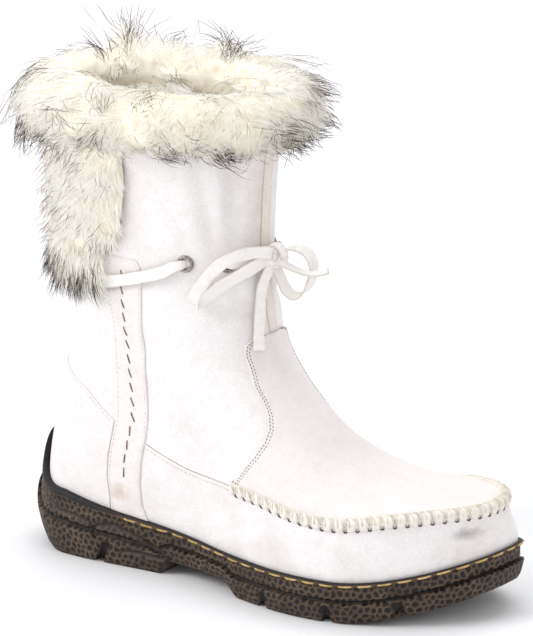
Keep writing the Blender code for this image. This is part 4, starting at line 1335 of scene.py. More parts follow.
def sole_stitches():
    turn = np.linspace(0, 2 * math.pi, 4000, endpoint=False)
    ring = sole_side(turn, SOLE_STITCH_LEVEL, SOLE_STITCH_INSET)
    ring = ring[ring[:, 0] > SOLE_STITCH_START]
    gap = np.linalg.norm(np.diff(ring, axis=0), axis=1).argmax() + 1
    if np.linalg.norm(ring[gap] - ring[gap - 1]) > 0.01:
        ring = np.roll(ring, -gap, axis=0)
    arc = arc_along(ring)
    threads = []
    for start in np.arange(0.001, arc[-1] - SOLE_STITCH_PITCH, SOLE_STITCH_PITCH):
        at = start + np.linspace(0, 0.80 * SOLE_STITCH_PITCH, 8)
        line = points_at(at, arc, ring)
        ahead = line[-1] - line[0]
        out = np.array([ahead[1], -ahead[0], 0]) / np.linalg.norm(ahead)
        if out @ (line[3] - [0.14, 0, line[3][2]]) < 0:
            out = -out
        line[:, 2] += 0.0001 * math.sin(start * 900)
        threads.append(line + out * SOLE_STITCH_RISE[:, None])
    return threads


gold_thread = thread_material("gold_thread", (0.34, 0.22, 0.075), (0.58, 0.41, 0.18), 0.55)
sew("sole_stitches", sole_stitches(), 0.00052, gold_thread, taper=True)


# The eyelets
# Four rolled rings of dark metal, their shine worn, each closed by a black disc of painted shadow that stands
# for the shaded inside of the shaft behind it.
EYELETS = [(122, "eyelet_1"), (148, "eyelet_2"), (212, "eyelet_3"), (238, "eyelet_4")]
EYELET_SECTION = [
    # radius, rise, in millimetres
    (4.55, 0.20),
    (4.60, 0.45),
    (4.42, 0.85),
    (4.05, 1.15),
    (3.55, 1.28),
    (3.05, 1.18),
    (2.70, 0.85),
    (2.52, 0.35),
    (2.45, -0.60),
    (0.0, -0.62),
]
METAL_BROWNS = [(0.35, (0.20, 0.175, 0.145)), (0.65, (0.46, 0.43, 0.39))]
EYELET_SHADOW_BLACK = (0.03, 0.025, 0.022, 1)


def metal_material():
    material, tree, shader = new_material("eyelet_metal", Metallic=1.0, Roughness=0.36)
    wear = noise_at(tree, object_place(tree), 700.0, 5.0)
    tree.links.new(paint_ramp(tree, wear, METAL_BROWNS), shader.inputs["Base Color"])
    tree.links.new(add_range(tree, wear, 0.0, 1.0, 0.25, 0.55), shader.inputs["Roughness"])
    add_bump(tree, shader, wear, 0.15, 0.0002)
    return material


def make_eyelet(name, angle, metal, hollow):
    shape = bmesh.new()
    line = [shape.verts.new((radius / 1000, 0, rise / 1000)) for radius, rise in EYELET_SECTION]
    edges = [shape.edges.new(pair) for pair in zip(line, line[1:])]
    bmesh.ops.spin(shape, geom=line + edges, cent=(0, 0, 0), axis=(0, 0, 1), angle=2 * math.pi, steps=48)
    bmesh.ops.remove_doubles(shape, verts=shape.verts, dist=1e-6)
    bmesh.ops.recalc_face_normals(shape, faces=shape.faces)
    for face in shape.faces:
        # Faces below the seat, the inner tube and its closing disc, take the black of painted shadow.
        face.material_index = int(face.calc_center_median().z < 0.0)
    point, normal = around(math.radians(angle), LACE_HEIGHT)
    facing = normal.to_track_quat("Z", "Y").to_matrix().to_4x4()
    seat = Matrix.Translation(in_frame(np.array(point))) @ facing
    bmesh.ops.transform(shape, matrix=seat, verts=shape.verts)
    ring = finish_piece(name + "_ring", shape)
    ring.data.materials.append(metal)
    ring.data.materials.append(hollow)
    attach(ring, "root")
    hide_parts(name)


eyelet_metal = metal_material()
eyelet_shadow = new_material("eyelet_shadow", Base_Color=EYELET_SHADOW_BLACK, Roughness=0.9)[0]
for degrees, name in EYELETS:
    make_eyelet(name, degrees, eyelet_metal, eyelet_shadow)


# The lace
# A flat white leather lace. One length runs from the knot through the outer eyelets, round the rear and
# back through the inner ones, and two more make the bow and its ends.
LACE_WIDTH = 0.0065
LACE_THICKNESS = 0.0015
LACE_DROP = 0.024
LACE_SECTION = [
    # across and through as shares of the half width and half thickness, from edge to edge over the top
    (-1.00, 0.00),
    (-0.98, 0.55),
    (-0.92, 0.88),
    (-0.75, 1.00),
    (-0.40, 0.96),
    (0.00, 1.00),
    (0.40, 0.96),
    (0.75, 1.00),
    (0.92, 0.88),
    (0.98, 0.55),
    (1.00, 0.00),
]


LACE_TOP = [(0.30, (0.78, 0.755, 0.725)), (0.60, (0.85, 0.83, 0.805))]
LACE_UNDER = (0.81, 0.785, 0.755)
LACE_EDGE = (0.66, 0.61, 0.55)


def smooth_route(rows, parts):
    """A smooth curve through a route's rows, whatever numbers they hold."""
    rows = np.array(rows, float)
    slope = np.gradient(rows, axis=0)
    share = np.linspace(0, 1, parts, endpoint=False)[:, None]
    made = []
    for here, there, leave, reach in zip(rows, rows[1:], slope, slope[1:]):
        made.append((2 * share**3 - 3 * share**2 + 1) * here + (share**3 - 2 * share**2 + share) * leave
                    + (3 * share**2 - 2 * share**3) * there + (share**3 - share**2) * reach)
    return np.concatenate(made + [rows[-1:]])


def lay_ribbon(name, centres, wides, narrow=None, cut=True, under=-1):
    """A flat lace along centre points, with the direction of its width and a share of that width at each."""
    centres = in_frame(centres)
    narrow = np.ones(len(centres)) if narrow is None else narrow
    section = LACE_SECTION + [(across, -through) for across, through in LACE_SECTION[-2:0:-1]]
    ahead = unit(np.gradient(centres, axis=0))
    wides = unit(wides - ahead * np.sum(wides * ahead, axis=1)[:, None])
    thick = np.cross(ahead, wides)
    arc = arc_along(centres)
    shape = bmesh.new()
    edge_layer = shape.verts.layers.float.new("edge")
    under_layer = shape.verts.layers.float.new("under")
    loops = []
    for k, centre in enumerate(centres):
        wave = 1 + 0.035 * math.sin(arc[k] * 410) + 0.025 * math.sin(arc[k] * 1130 + 1)
        loop = []
        for across, through in section:
            cup = 0.00025 * across**2 * math.sin(arc[k] * 170)
            place = centre + wides[k] * across * LACE_WIDTH / 2 * wave * narrow[k]
            rise = through * LACE_THICKNESS / 2 / max(narrow[k], 0.7) + cup
            vert = shape.verts.new(place + thick[k] * rise)
            vert[edge_layer] = max(0.0, (abs(across) - 0.88) / 0.12)
            vert[under_layer] = float(through * under > 0)
            loop.append(vert)
        loops.append(loop)
    for low, high in zip(loops, loops[1:]):
        for k in range(len(low)):
            n = (k + 1) % len(low)
            shape.faces.new((low[k], low[n], high[n], high[k]))
    if cut:
        for loop in (loops[0], loops[-1]):
            for vert in loop:
                vert[edge_layer] = 1.0
    shape.faces.new(loops[0])
    shape.faces.new(loops[-1])
    bmesh.ops.recalc_face_normals(shape, faces=shape.faces)
    return finish_piece(name, shape)


def lace_material():
    material, tree, shader = new_material("lace_leather", Roughness=0.5, Specular_IOR_Level=0.35)
    grain = noise_at(tree, object_place(tree), 380.0, 5.0)
    under = read_mark(tree, "under")
    suede_side = mix_colors(tree, under, paint_ramp(tree, grain, LACE_TOP), LACE_UNDER)
    edged = mix_colors(tree, read_mark(tree, "edge"), suede_side, LACE_EDGE)
    tree.links.new(edged, shader.inputs["Base Color"])
    tree.links.new(add_range(tree, under, 0.0, 1.0, 0.48, 0.85), shader.inputs["Roughness"])
    add_bump(tree, shader, grain, 0.3, 0.0002)
    return material


BAND_ROUTE = [
    # degrees from the heel, height, lift from the suede in millimetres, share of its width
    (177.0, 0.1762, 4.2, 1.00),
    (171.0, 0.1758, 3.6, 1.00),
    (163.0, 0.1749, 3.0, 1.00),
    (155.5, 0.1738, 2.7, 0.96),
    (151.2, 0.1732, 2.2, 0.80),
    (149.2, 0.1730, 1.1, 0.66),
    (147.8, 0.1730, -1.0, 0.60),
    (146.0, 0.1730, -3.2, 0.72),
    (141.0, 0.1726, -4.0, 0.95),
    (135.0, 0.1724, -4.1, 1.00),
    (129.0, 0.1726, -4.0, 0.95),
    (124.2, 0.1730, -3.2, 0.72),
    (122.4, 0.1730, -1.0, 0.60),
    (121.0, 0.1729, 1.1, 0.66),
    (119.0, 0.1725, 2.4, 0.80),
    (115.0, 0.1713, 3.0, 0.97),
]


def band_places():
    """The band's centre points and the directions of its width, from the knot round to the knot again."""
    behind = []
    for angle in range(110, -111, -10):
        drop = LACE_DROP * (1 - abs(angle / 122) ** 2.1)
        behind.append((angle, LACE_HEIGHT - drop, 3.1, 1.0))
    back = [(-angle, height, lift, share) for angle, height, lift, share in BAND_ROUTE[::-1]]
    rows = smooth_route(BAND_ROUTE + behind + back, 7)
    centres = [tuple(around(math.radians(row[0]), row[1], row[2] / 1000)[0]) for row in rows]
    return np.array(centres), np.tile((0.0, 0.0, 1.0), (len(rows), 1)), rows[:, 3]


LEFT_LOOP = [
    # x, y, z, then how far the lace's width is turned from upright, in degrees
    (0.1436, -0.0066, 0.1782, 0),
    (0.1434, -0.0130, 0.1803, 0),
    (0.1402, -0.0208, 0.1812, 6),
    (0.1372, -0.0276, 0.1808, 14),
    (0.1335, -0.0326, 0.1790, 28),
    (0.1300, -0.0356, 0.1758, 40),
    (0.1260, -0.0379, 0.1712, 50),
    (0.1228, -0.0393, 0.1660, 58),
    (0.1192, -0.0402, 0.1606, 62),
    (0.1170, -0.0394, 0.1560, 62),
    (0.1162, -0.0368, 0.1538, 60),
    (0.1178, -0.0346, 0.1546, 56),
    (0.1222, -0.0314, 0.1582, 48),
    (0.1268, -0.0282, 0.1628, 42),
    (0.1316, -0.0238, 0.1666, 36),
    (0.1363, -0.0186, 0.1702, 26),
    (0.1402, -0.0130, 0.1734, 14),
    (0.1420, -0.0076, 0.1752, 4),
]
RIGHT_LOOP = [
    # x, y, z, turn
    (0.1434, 0.0000, 0.1762, 88),
    (0.1452, 0.0016, 0.1777, 88),
    (0.1472, 0.0032, 0.1786, 88),
    (0.1500, 0.0052, 0.1790, 84),
    (0.1528, 0.0073, 0.1783, 80),
    (0.1553, 0.0090, 0.1764, 76),
    (0.1572, 0.0102, 0.1733, 76),
    (0.1580, 0.0107, 0.1690, 78),
    (0.1576, 0.0105, 0.1645, 80),
    (0.1564, 0.0098, 0.1602, 78),
    (0.1544, 0.0083, 0.1565, 74),
    (0.1516, 0.0063, 0.1543, 70),
    (0.1488, 0.0044, 0.1543, 68),
    (0.1465, 0.0028, 0.1568, 70),
    (0.1448, 0.0015, 0.1608, 76),
    (0.1435, 0.0005, 0.1650, 84),
    (0.1424, -0.0003, 0.1682, 88),
]
HANGING_END = [
    # x, y, z, turn
    (0.1418, -0.0030, 0.1715, 90),
    (0.1412, -0.0050, 0.1692, 90),
    (0.1398, -0.0072, 0.1648, 90),
    (0.1386, -0.0085, 0.1595, 90),
    (0.1386, -0.0099, 0.1530, 90),
    (0.1396, -0.0117, 0.1438, 90),
    (0.1412, -0.0146, 0.1358, 90),
    (0.1430, -0.0173, 0.1277, 90),
]
SIDE_END = [
    # x, y, z, turn
    (0.1472, -0.0045, 0.1738, 60),
    (0.1500, -0.0022, 0.1715, 74),
    (0.1535, 0.0003, 0.1695, 82),
    (0.1575, 0.0032, 0.1677, 85),
    (0.1620, 0.0065, 0.1672, 85),
    (0.1675, 0.0103, 0.1690, 82),
]
KNOT_PLACE = np.array((0.1424, -0.0008, 0.1755))
KNOT_SIZE = (0.0076, 0.0096, 0.0112, 1)
KNOT_TURNS = [
    # name, half depth, reach to each side, direction of the lace's width
    ("knot_turn", 0.0050, 0.0062, (0, 1, 0.12)),
    ("knot_under", 0.0043, 0.0056, (0, 0.62, -0.78)),
]


def make_cord(name, parts, replaced, under):
    """A loop of the bow with the end that it turns into, as one lace through the knot."""
    rows = []
    for route, flat in parts:
        for x, y, z, turn in route:
            turn = math.radians(turn)
            rows.append((x, y, z, *(np.array((0, 0, 1)) * math.cos(turn) + np.array(flat) * math.sin(turn))))
    rows = smooth_route(rows, 6)
    centres = rows[:, :3]
    lace = lay_ribbon(name, centres, rows[:, 3:], under=under)
    lace.data.materials.append(lace_leather)
    route = [tuple(point) for point in in_frame(centres)]
    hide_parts(*replaced)


def make_knot():
    """The knot: a core, a turn of lace over it, and a slanting turn beneath that."""
    shape = bmesh.new()
    core = Matrix.Translation(in_frame(KNOT_PLACE)) @ Matrix.Diagonal(KNOT_SIZE)
    bmesh.ops.create_uvsphere(shape, u_segments=32, v_segments=20, radius=0.5, matrix=core)
    knot = finish_piece("knot", shape)
    wraps = []
    turns = np.linspace(0, 2 * math.pi, 49)
    for name, depth, reach, wide in KNOT_TURNS:
        wide = unit(np.array(wide))
        rise = unit(np.cross(wide, (1, 0, 0)))
        ring = KNOT_PLACE + np.outer(np.cos(turns), (depth, 0, 0)) + np.outer(np.sin(turns), rise * reach)
        wides = np.tile(wide, (len(turns), 1))
        wraps.append(lay_ribbon(name, ring, wides, np.full(len(turns), 0.88), cut=False))
    with bpy.context.temp_override(active_object=knot, selected_editable_objects=[knot] + wraps):
        bpy.ops.object.join()
    return knot


lace_leather = lace_material()
lace_band = lay_ribbon("lace_band", *band_places(), cut=False, under=1)
lace_band.data.materials.append(lace_leather)
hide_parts("lace_rear_bar", "lace_front_bar_outer", "lace_front_bar_inner")
knot = make_knot()
knot.data.materials.append(lace_leather)
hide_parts("lace_knot")
make_cord("lace_left", [(LEFT_LOOP, (-0.82, -0.57, 0.0)), (SIDE_END, (-0.57, 0.82, 0.0))],
          ("lace_loop_left", "lace_end_side"), 1)
make_cord("lace_right", [(RIGHT_LOOP, (0.20, 0.98, 0.0)), (HANGING_END, (0.35, 0.94, 0.0))],
          ("lace_loop_right", "lace_end_hanging"), -1)


# The fur
# Long cream fur with dark tips: a soft lumpy body over the collar and down the rear of the outer side, and
# hairs that gather into pointed tufts. The darkest tufts are listed.
CUFF_DEPTH = 0.017
CUFF_LINING = 0.008
CUFF_DROP = 0.014
CUFF_RISE = 0.013
STRIP_DEPTH = 0.009
CUFF_SECTION = [
    # lift, height
    (0.00, -0.96),
    (0.45, -1.08),
    (0.88, -0.80),
    (1.00, -0.20),
    (0.95, 0.45),
    (0.62, 0.88),
    (0.10, 1.00),
    (-0.60, 0.80),
    (-1.00, 0.20),
    (-0.80, -0.40),
]
FUR_STRIP = [
    # height, rear and front edge in degrees, depth
    (0.648, 34, 60, 0.45),
    (0.680, 20, 67, 0.80),
    (0.702, 10, 72, 0.95),
    (0.745, -8, 84, 1.00),
    (0.800, -12, 87, 0.95),
    (0.860, -12, 88, 1.00),
    (0.925, -12, 86, 1.00),
]
DARK_TUFTS = [
    # degrees, place across the cuff from its lower edge 0 to its inside 1, spread in degrees, darkness
    (28, 0.20, 15, 1.0),
    (62, 0.08, 9, 1.0),
    (84, 0.35, 5, 0.6),
    (112, 0.12, 11, 1.0),
    (137, 0.10, 9, 0.9),
    (160, 0.30, 7, 0.5),
    (190, 0.18, 11, 0.9),
    (206, 0.50, 9, 0.6),
    (228, 0.15, 9, 0.8),
    (262, 0.75, 9, 0.7),
    (285, 0.15, 11, 0.8),
    (340, 0.78, 17, 1.0),
    (325, 0.20, 9, 0.8),
    (12, 0.60, 8, 0.6),
]
TIP_RULES = [
    # place across the cuff, then where the tips lie: lift and rise in millimetres, and how far they stray
    (0.00, 14.0, -19.0, 3.0),
    (0.15, 23.0, -19.0, 4.5),
    (0.35, 32.0, -11.0, 6.0),
    (0.55, 31.0, 4.0, 6.0),
    (0.70, 21.0, 15.0, 5.0),
    (0.85, 2.0, 16.0, 5.0),
    (1.00, -15.0, -4.0, 5.0),
]
CUFF_REACH = [
    # degrees, share of the tips' reach, droop in millimetres: the fur sweeps far and low to the rear
    (0, 0.74, 13.0),
    (30, 0.88, 13.0),
    (60, 0.78, 6.0),
    (100, 0.66, -3.0),
    (150, 0.64, -3.0),
    (185, 0.66, 1.0),
    (215, 0.66, 3.0),
    (260, 0.80, 0.0),
    (330, 0.92, -3.0),
    (360, 0.74, 13.0),
]
CUFF_HAIRS = 25200
CUFF_TUFTS = 420
STRIP_HAIRS = 9000
STRIP_TUFTS = 150
HAIR_SHARES = np.array((0.0, 0.40, 0.76, 1.0))
HAIR_CREAMS = [(0.0, (0.88, 0.83, 0.70)), (0.35, (0.96, 0.94, 0.86)), (1.0, (0.985, 0.98, 0.95))]
HAIR_TIPS = [(0.0, (0.96, 0.94, 0.86)), (0.4, (0.24, 0.165, 0.125)), (0.8, (0.030, 0.021, 0.020))]
ROOT_SHADE_CREAM = (0.82, 0.75, 0.58)
BODY_SHADE_CREAMS = [(0.30, (0.80, 0.73, 0.56)), (0.65, (0.95, 0.92, 0.80))]
COLLAR_BAND = 0.016
HAIR_SEED = 11
VISUAL_ROOM = np.array((0.016, 0.0115, 0.015))
chance = np.random.default_rng(HAIR_SEED)


def collar_levels():
    """The last's levels at the collar and a little below it, for each degree."""
    turns = np.radians(np.arange(360))
    return [np.array([level_at(t, COLLAR * 0.9999 - drop) for t in turns]) for drop in (0, COLLAR_BAND)]


COLLAR_LEVELS = collar_levels()


def beside_collar(turn, lift, rise):
    """Points beside the collar at angles, with a lift off the suede and a rise above the collar."""
    at = np.degrees(turn) % 360
    top, low = (np.interp(at, np.arange(360), levels, period=360) for levels in COLLAR_LEVELS)
    share = np.clip(-rise / COLLAR_BAND, 0, 1.4)
    point, outward = on_last(turn, top + (low - top) * share)
    level = point[..., :2] + unit(outward[..., :2]) * np.asarray(lift)[..., None]
    return np.concatenate([level, (COLLAR + rise)[..., None]], -1)


def round_section():
    """The cuff's section with its corners rounded off, closed along the suede."""
    first, inside = [(GAP / CUFF_DEPTH, -0.96)], [(-0.34, -0.40), (-0.34, 0.02), (0.02, 0.02)]
    line = np.array(first + CUFF_SECTION[1:] + inside)
    for _ in range(2):
        after = np.roll(line, -1, axis=0)
        line = np.stack([0.75 * line + 0.25 * after, 0.25 * line + 0.75 * after], 1).reshape(-1, 2)
    return line


def cuff_place(turn, lift, height):
    """A place in the cuff's section, with the slow swells of its depth."""
    clump = 1 + 0.07 * np.sin(7 * turn + 0.8) + 0.05 * np.sin(12 * turn)
    back = 1 + 0.20 * np.cos(turn)
    outside = lift * CUFF_DEPTH * np.where(lift > 0.2, clump * back, 1)
    inside = lift * CUFF_LINING - UPPER_WALL * (lift < -0.3)
    away = np.where(lift > 0, outside, inside)
    rise = height * np.where(height > 0, CUFF_RISE, CUFF_DROP) * np.where(abs(height) > 0.5, clump, 1)
    return beside_collar(turn, away, rise)


def lumps(points, scale, depth):
    """Swells of the fur's body, as a distance for each point."""
    swells = [noise.noise(Vector(point) * scale) for point in points.reshape(-1, 3)]
    return np.array(swells).reshape(points.shape[:-1]) * depth


def normals_of(points, wrap):
    """Directions across a grid of points, away from its body."""
    padded = np.concatenate([points[:, -2:], points, points[:, :2]], axis=1) if wrap else points
    cross = np.cross(np.gradient(padded, axis=0), np.gradient(padded, axis=1))
    cross = cross[:, 2:-2] if wrap else cross
    return cross / (np.linalg.norm(cross, axis=-1)[..., None] + 1e-12)


def mould_cuff():
    turns = np.radians(np.arange(0, 360, 2.0))
    section = round_section()
    t = np.broadcast_to(turns, (len(section), len(turns)))
    lift = np.broadcast_to(section[:, :1], t.shape)
    height = np.broadcast_to(section[:, 1:], t.shape)
    points = cuff_place(t, lift, height)
    points = np.concatenate([points, points[:1]])
    free = (lift > 0.15) | (height > 0.3)
    free = np.concatenate([free, free[:1]])
    return points + normals_of(points, True) * (lumps(points, 95, 0.0022) * free)[..., None]


def mould_strip():
    table = np.array(FUR_STRIP)
    heights = np.linspace(table[0, 0], table[-1, 0], 34)
    rear, front, depth = (np.interp(heights, table[:, 0], table[:, column]) for column in (1, 2, 3))
    across = np.linspace(0, 1, 40)
    top = np.zeros((len(heights), len(across), 3))
    under = top.copy()
    for i, height in enumerate(heights):
        for j, share in enumerate(across):
            angle = math.radians(rear[i] + (front[i] - rear[i]) * share)
            dome = math.sin(math.pi * (0.12 + 0.76 * share)) ** 0.6 * min(1, 0.25 + i / 5)
            point, outward = around(angle, height * COLLAR, STRIP_DEPTH * depth[i] * dome)
            top[i, j] = point
            under[i, j] = point - outward * (STRIP_DEPTH * depth[i] * dome - 3 * GAP)
    outward = -normals_of(top, False)
    swell = lumps(top, 110, 0.0016) * np.sin(across * math.pi)
    top = top + outward * swell[..., None]
    grid = np.concatenate([under[:, :1], top, under[:, -1:]], axis=1)
    grid = np.concatenate([grid[:1], grid])
    grid[0, 1:-1] = under[0]
    return grid, np.pad(outward, ((1, 0), (1, 1), (0, 0)), "edge")


def share_out(count, tufts):
    """Which tuft each hair is in, where it stands in the tuft, and its luck."""
    member = chance.integers(0, tufts, count)
    return member, chance.normal(0, 1, (count, 2)), chance.random(count)


def cuff_darkness(turn, place):
    """How dark each tuft is: the listed tufts, and a few others."""
    dark = np.zeros(len(turn))
    for degrees, across, spread, amount in DARK_TUFTS:
        apart = (np.degrees(turn) - degrees + 180) % 360 - 180
        dark = np.maximum(dark, amount * np.exp(-(apart / spread) ** 2 - ((place - across) / 0.16) ** 2))
    others = (chance.random(len(turn)) < 0.14) * chance.random(len(turn)) * 0.6
    return np.clip(dark * 1.3 + others, 0, 1)


def cuff_hairs():
    """Roots, middles and tips of the cuff's hairs, their darkness and the way that the fur faces."""
    tuft_turn = (np.arange(CUFF_TUFTS) + chance.random(CUFF_TUFTS)) / CUFF_TUFTS * 2 * math.pi
    tuft_place = chance.permutation(np.linspace(0.01, 0.99, CUFF_TUFTS))
    sway = chance.normal(0, 0.14, CUFF_TUFTS)
    stray = chance.normal(0, 1, (CUFF_TUFTS, 2))
    long = chance.random(CUFF_TUFTS)
    member, offset, luck = share_out(CUFF_HAIRS, CUFF_TUFTS)
    turn = tuft_turn[member] + offset[:, 0] * 0.075
    place = np.clip(tuft_place[member] + offset[:, 1] * 0.07, 0.0, 1.0)
    section = np.array(CUFF_SECTION)
    arc = arc_along(section)
    at = place * arc[-2]
    lift, height = np.interp(at, arc, section[:, 0]), np.interp(at, arc, section[:, 1])
    roots = cuff_place(turn, lift * 0.93, height * 0.93)
    rules = np.array(TIP_RULES)
    reach = np.array(CUFF_REACH)
    degrees = np.degrees(tuft_turn[member]) % 360
    far = np.interp(degrees, reach[:, 0], reach[:, 1]) * (0.62 + 0.30 * long[member] * (0.6 + 0.4 * luck))
    dark = cuff_darkness(tuft_turn, tuft_place)[member]
    guard = chance.random(len(member)) < 0.02 + 0.36 * dark
    far *= (1 + guard * (0.30 + 0.45 * luck)) * (1 + 0.35 * ease((tuft_place[member] - 0.55) / 0.2))
    mine = tuft_place[member]
    aim, up, wander = (np.interp(mine, rules[:, 0], rules[:, column]) / 1000 for column in (1, 2, 3))
    loose = offset * 0.0016 + chance.normal(0, 0.0011, offset.shape)
    tip_lift = aim + (stray[member, 0] * wander + loose[:, 0]) * 0.6
    tip_rise = up + (stray[member, 1] * wander + loose[:, 1]) * 0.6
    tip_rise -= np.interp(degrees, reach[:, 0], reach[:, 2]) / 1000 * (tuft_place[member] > 0.25)
    tip_rise += guard * chance.normal(0, 0.003, len(member))
    tip_turn = tuft_turn[member] + sway[member] + offset[:, 0] * 0.022
    tip_turn += chance.normal(0, 0.012, len(member)) + guard * chance.normal(0, 0.07, len(member))
    tips = beside_collar(tip_turn, tip_lift, tip_rise)
    tips = roots + (tips - roots) * far[:, None]
    base = cuff_place(turn, lift * 0.5, height * 0.5)
    out = roots - base
    out /= np.linalg.norm(out, axis=1)[:, None] + 1e-9
    length = np.linalg.norm(tips - roots, axis=1)[:, None]
    middles = roots + (tips - roots) * 0.45 + out * length * 0.30 + chance.normal(0, 0.0008, roots.shape)
    return roots, middles, tips, guard * (0.45 + 0.55 * dark), out


def strip_hairs():
    """The same for the strip's hairs. They sweep down and to the rear, and over the strip's front edge."""
    table = np.array(FUR_STRIP)
    tuft_share = chance.permutation(np.linspace(0.0, 1.0, STRIP_TUFTS))
    tuft_height = np.linspace(0.650, 0.935, STRIP_TUFTS)
    long = chance.random(STRIP_TUFTS)
    sway = chance.normal(0, 0.09, STRIP_TUFTS)
    member, offset, luck = share_out(STRIP_HAIRS, STRIP_TUFTS)
    share = np.clip(tuft_share[member] + offset[:, 0] * 0.07, 0.0, 1.0)
    height = np.clip(tuft_height[member] + offset[:, 1] * 0.010, 0.648, 0.94)
    rear, front, depth = (np.interp(height, table[:, 0], table[:, column]) for column in (1, 2, 3))
    turn = np.radians(rear + (front - rear) * share)
    dome = np.sin(math.pi * (0.12 + 0.76 * share)) ** 0.6
    levels = np.array([level_at(t, h * COLLAR) for t, h in zip(turn, height)])
    roots, outward = on_last(turn, levels, STRIP_DEPTH * depth * dome * 0.85)
    low = np.exp(-((tuft_height - 0.67) / 0.03) ** 2)
    left = np.exp(-(tuft_share / 0.25) ** 2)
    dark = 0.6 * low + 0.8 * left * chance.random(STRIP_TUFTS) + (chance.random(STRIP_TUFTS) < 0.2) * 0.5
    dark = np.clip(dark, 0, 1)[member]
    guard = chance.random(len(member)) < 0.05 + 0.22 * dark
    down = 0.007 + 0.008 * long[member] + 0.010 * (tuft_height[member] < 0.71)
    out = 0.0025 + 0.0025 * (1 - share) + 0.0015 * chance.normal(0, 1, len(member))
    out = out * (1 + guard * (0.8 + 2.0 * luck))
    edge = ease((share - 0.80) / 0.20)
    rear_sweep = -0.0045 * (1 - edge) * (1 + 1.5 * guard * luck) * ease((tuft_height[member] - 0.655) / 0.08)
    forward = 0.0070 * (1 - ease((tuft_height[member] - 0.655) / 0.05))
    swept = 0.0070 * edge + rear_sweep + forward + sway[member] * 0.05
    aside = np.stack([outward[:, 1], -outward[:, 0], np.zeros(len(member))], -1)
    tips = roots + outward * out[:, None] - aside * swept[:, None]
    tips[:, 2] -= down * (0.7 + 0.5 * luck)
    tuft_tips = np.array([tips[member == k].mean(axis=0) for k in range(STRIP_TUFTS)])
    tips = tips * 0.5 + tuft_tips[member] * 0.5 + chance.normal(0, 0.0009, tips.shape)
    middles = roots + (tips - roots) * 0.45 + outward * 0.0045 + chance.normal(0, 0.0007, roots.shape)
    return roots, middles, tips, guard * (0.5 + 0.5 * dark), outward


def grow_hairs(name, roots, middles, tips, dark, facing):
    """Thin three-sided hairs that taper to their tips, in one mesh."""
    low, high = np.array(cad_box[0]) - VISUAL_ROOM, np.array(cad_box[1]) + VISUAL_ROOM
    shift = np.array((HEEL_CENTRE, 0, 0))
    tips = np.clip(tips - shift, low, high) + shift
    middles = np.clip(middles - shift, low, high) + shift
    count = len(roots)
    line = [roots * (1 - s) ** 2 + middles * 2 * s * (1 - s) + tips * s**2 for s in HAIR_SHARES]
    ahead = tips - roots
    ahead /= np.linalg.norm(ahead, axis=1)[:, None] + 1e-9
    across = np.cross(ahead, chance.normal(0, 1, ahead.shape))
    across /= np.linalg.norm(across, axis=1)[:, None] + 1e-9
    beside = np.cross(ahead, across)
    thick = 0.00014 + 0.00006 * chance.random(count) + 0.00006 * (dark > 0)
    rings = []
    for centre, taper in zip(line[:3], (1.0, 0.85, 0.5)):
        for corner in (0, 1, 2):
            angle = corner * 2 * math.pi / 3
            side = across * math.cos(angle) + beside * math.sin(angle)
            rings.append(centre + side * (thick * taper)[:, None])
    rings.append(line[3])
    points = in_frame(np.stack(rings, axis=1).reshape(-1, 3))
    faces = []
    for ring in (0, 3):
        for corner in (0, 1, 2):
            here, there = ring + corner, ring + (corner + 1) % 3
            faces += [(here, there, there + 3), (here, there + 3, here + 3)]
    faces += [(6, 7, 9), (7, 8, 9), (8, 6, 9)]
    faces = (np.array(faces)[None] + (np.arange(count) * 10)[:, None, None]).reshape(-1, 3)
    mesh = bpy.data.meshes.new(name)
    mesh.from_pydata(points, [], faces)
    mesh.shade_smooth()
    piece = bpy.data.objects.new(name, mesh)
    bpy.context.scene.collection.objects.link(piece)
    along = np.tile(np.repeat(HAIR_SHARES, (3, 3, 3, 1)), count)
    start = 1.0 - 0.75 * dark * (0.7 + 0.5 * chance.random(count))
    tone = ease((along - np.repeat(start, 10)) / 0.30) * np.repeat(dark > 0, 10)
    store(piece, "along", along)
    store(piece, "tip", tone)
    store(piece, "hair", np.repeat(chance.random(count), 10))
    layer = mesh.attributes.new("facing", "FLOAT_VECTOR", "POINT")
    layer.data.foreach_set("vector", np.repeat(facing, 10, axis=0).astype(np.float32).ravel())
    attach(piece, "root")
    return piece


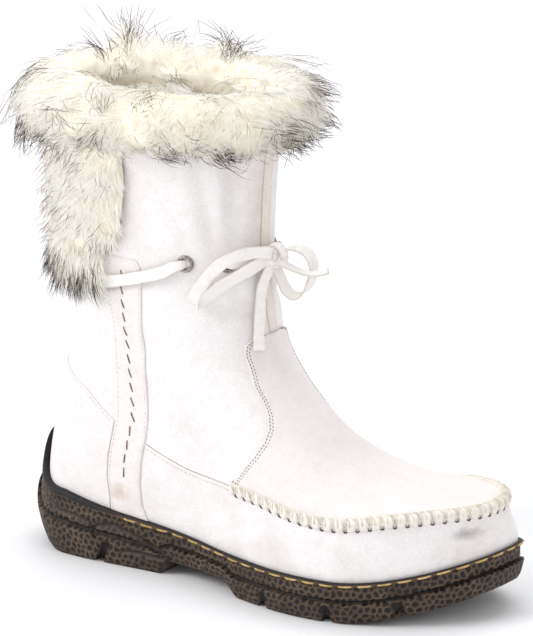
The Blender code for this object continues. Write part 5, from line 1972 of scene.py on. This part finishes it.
def hair_material():
    material, tree, shader = new_material("fur_hair", Roughness=0.62, Specular_IOR_Level=0.3)
    tip = read_mark(tree, "tip")
    # Painted shade: hairs turn a darker, yellower cream towards their roots, for the shade deep in the fur.
    depth = add_range(tree, read_mark(tree, "along"), 0.0, 0.5, 0.35, 0.0)
    rooted = mix_colors(tree, depth, paint_ramp(tree, read_mark(tree, "hair"), HAIR_CREAMS), ROOT_SHADE_CREAM)
    tipped = mix_colors(tree, add_range(tree, tip, 0.0, 0.2), rooted, paint_ramp(tree, tip, HAIR_TIPS))
    tree.links.new(tipped, shader.inputs["Base Color"])
    facing = add_node(tree, "ShaderNodeAttribute", attribute_name="facing").outputs["Vector"]
    round_hair = add_node(tree, "ShaderNodeNewGeometry").outputs["Normal"]
    blend = {0: facing, 1: (0.75, 0.75, 0.75), 2: round_hair}
    softened = add_node(tree, "ShaderNodeVectorMath", blend, operation="MULTIPLY_ADD").outputs["Vector"]
    normal = add_node(tree, "ShaderNodeVectorMath", {0: softened}, operation="NORMALIZE").outputs["Vector"]
    tree.links.new(normal, shader.inputs["Normal"])
    return material


def fur_body_material():
    material, tree, shader = new_material("fur_body", Roughness=0.95, Specular_IOR_Level=0.1)
    tone = noise_at(tree, object_place(tree), 160.0, 5.0)
    # Painted shade: the body is a darker cream than the hairs, for the shade of the dense fur between them.
    tree.links.new(paint_ramp(tree, tone, BODY_SHADE_CREAMS), shader.inputs["Base Color"])
    add_bump(tree, shader, tone, 0.8, 0.001)
    return material


fur_hair, fur_body = hair_material(), fur_body_material()
cuff_body = lay_sheet("cuff_body", in_frame(mould_cuff()), wrap=True)
strip_grid, strip_outward = mould_strip()
strip_body = lay_sheet("strip_body", in_frame(strip_grid), strip_outward)
fur_pieces = {"fur_cuff": [cuff_body], "fur_strip": [strip_body]}
cuff_parts = cuff_hairs()
for k in range(3):
    chosen = slice(k * CUFF_HAIRS // 3, (k + 1) * CUFF_HAIRS // 3)
    fur_pieces["fur_cuff"].append(grow_hairs(f"cuff_hairs_{k + 1}", *(part[chosen] for part in cuff_parts)))
fur_pieces["fur_strip"].append(grow_hairs("strip_hairs", *strip_hairs()))
for node, pieces in fur_pieces.items():
    for piece in pieces:
        piece.data.materials.append(fur_body if piece.name.endswith("body") else fur_hair)
        piece.visible_shadow = piece.name.endswith("body")
        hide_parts(node)
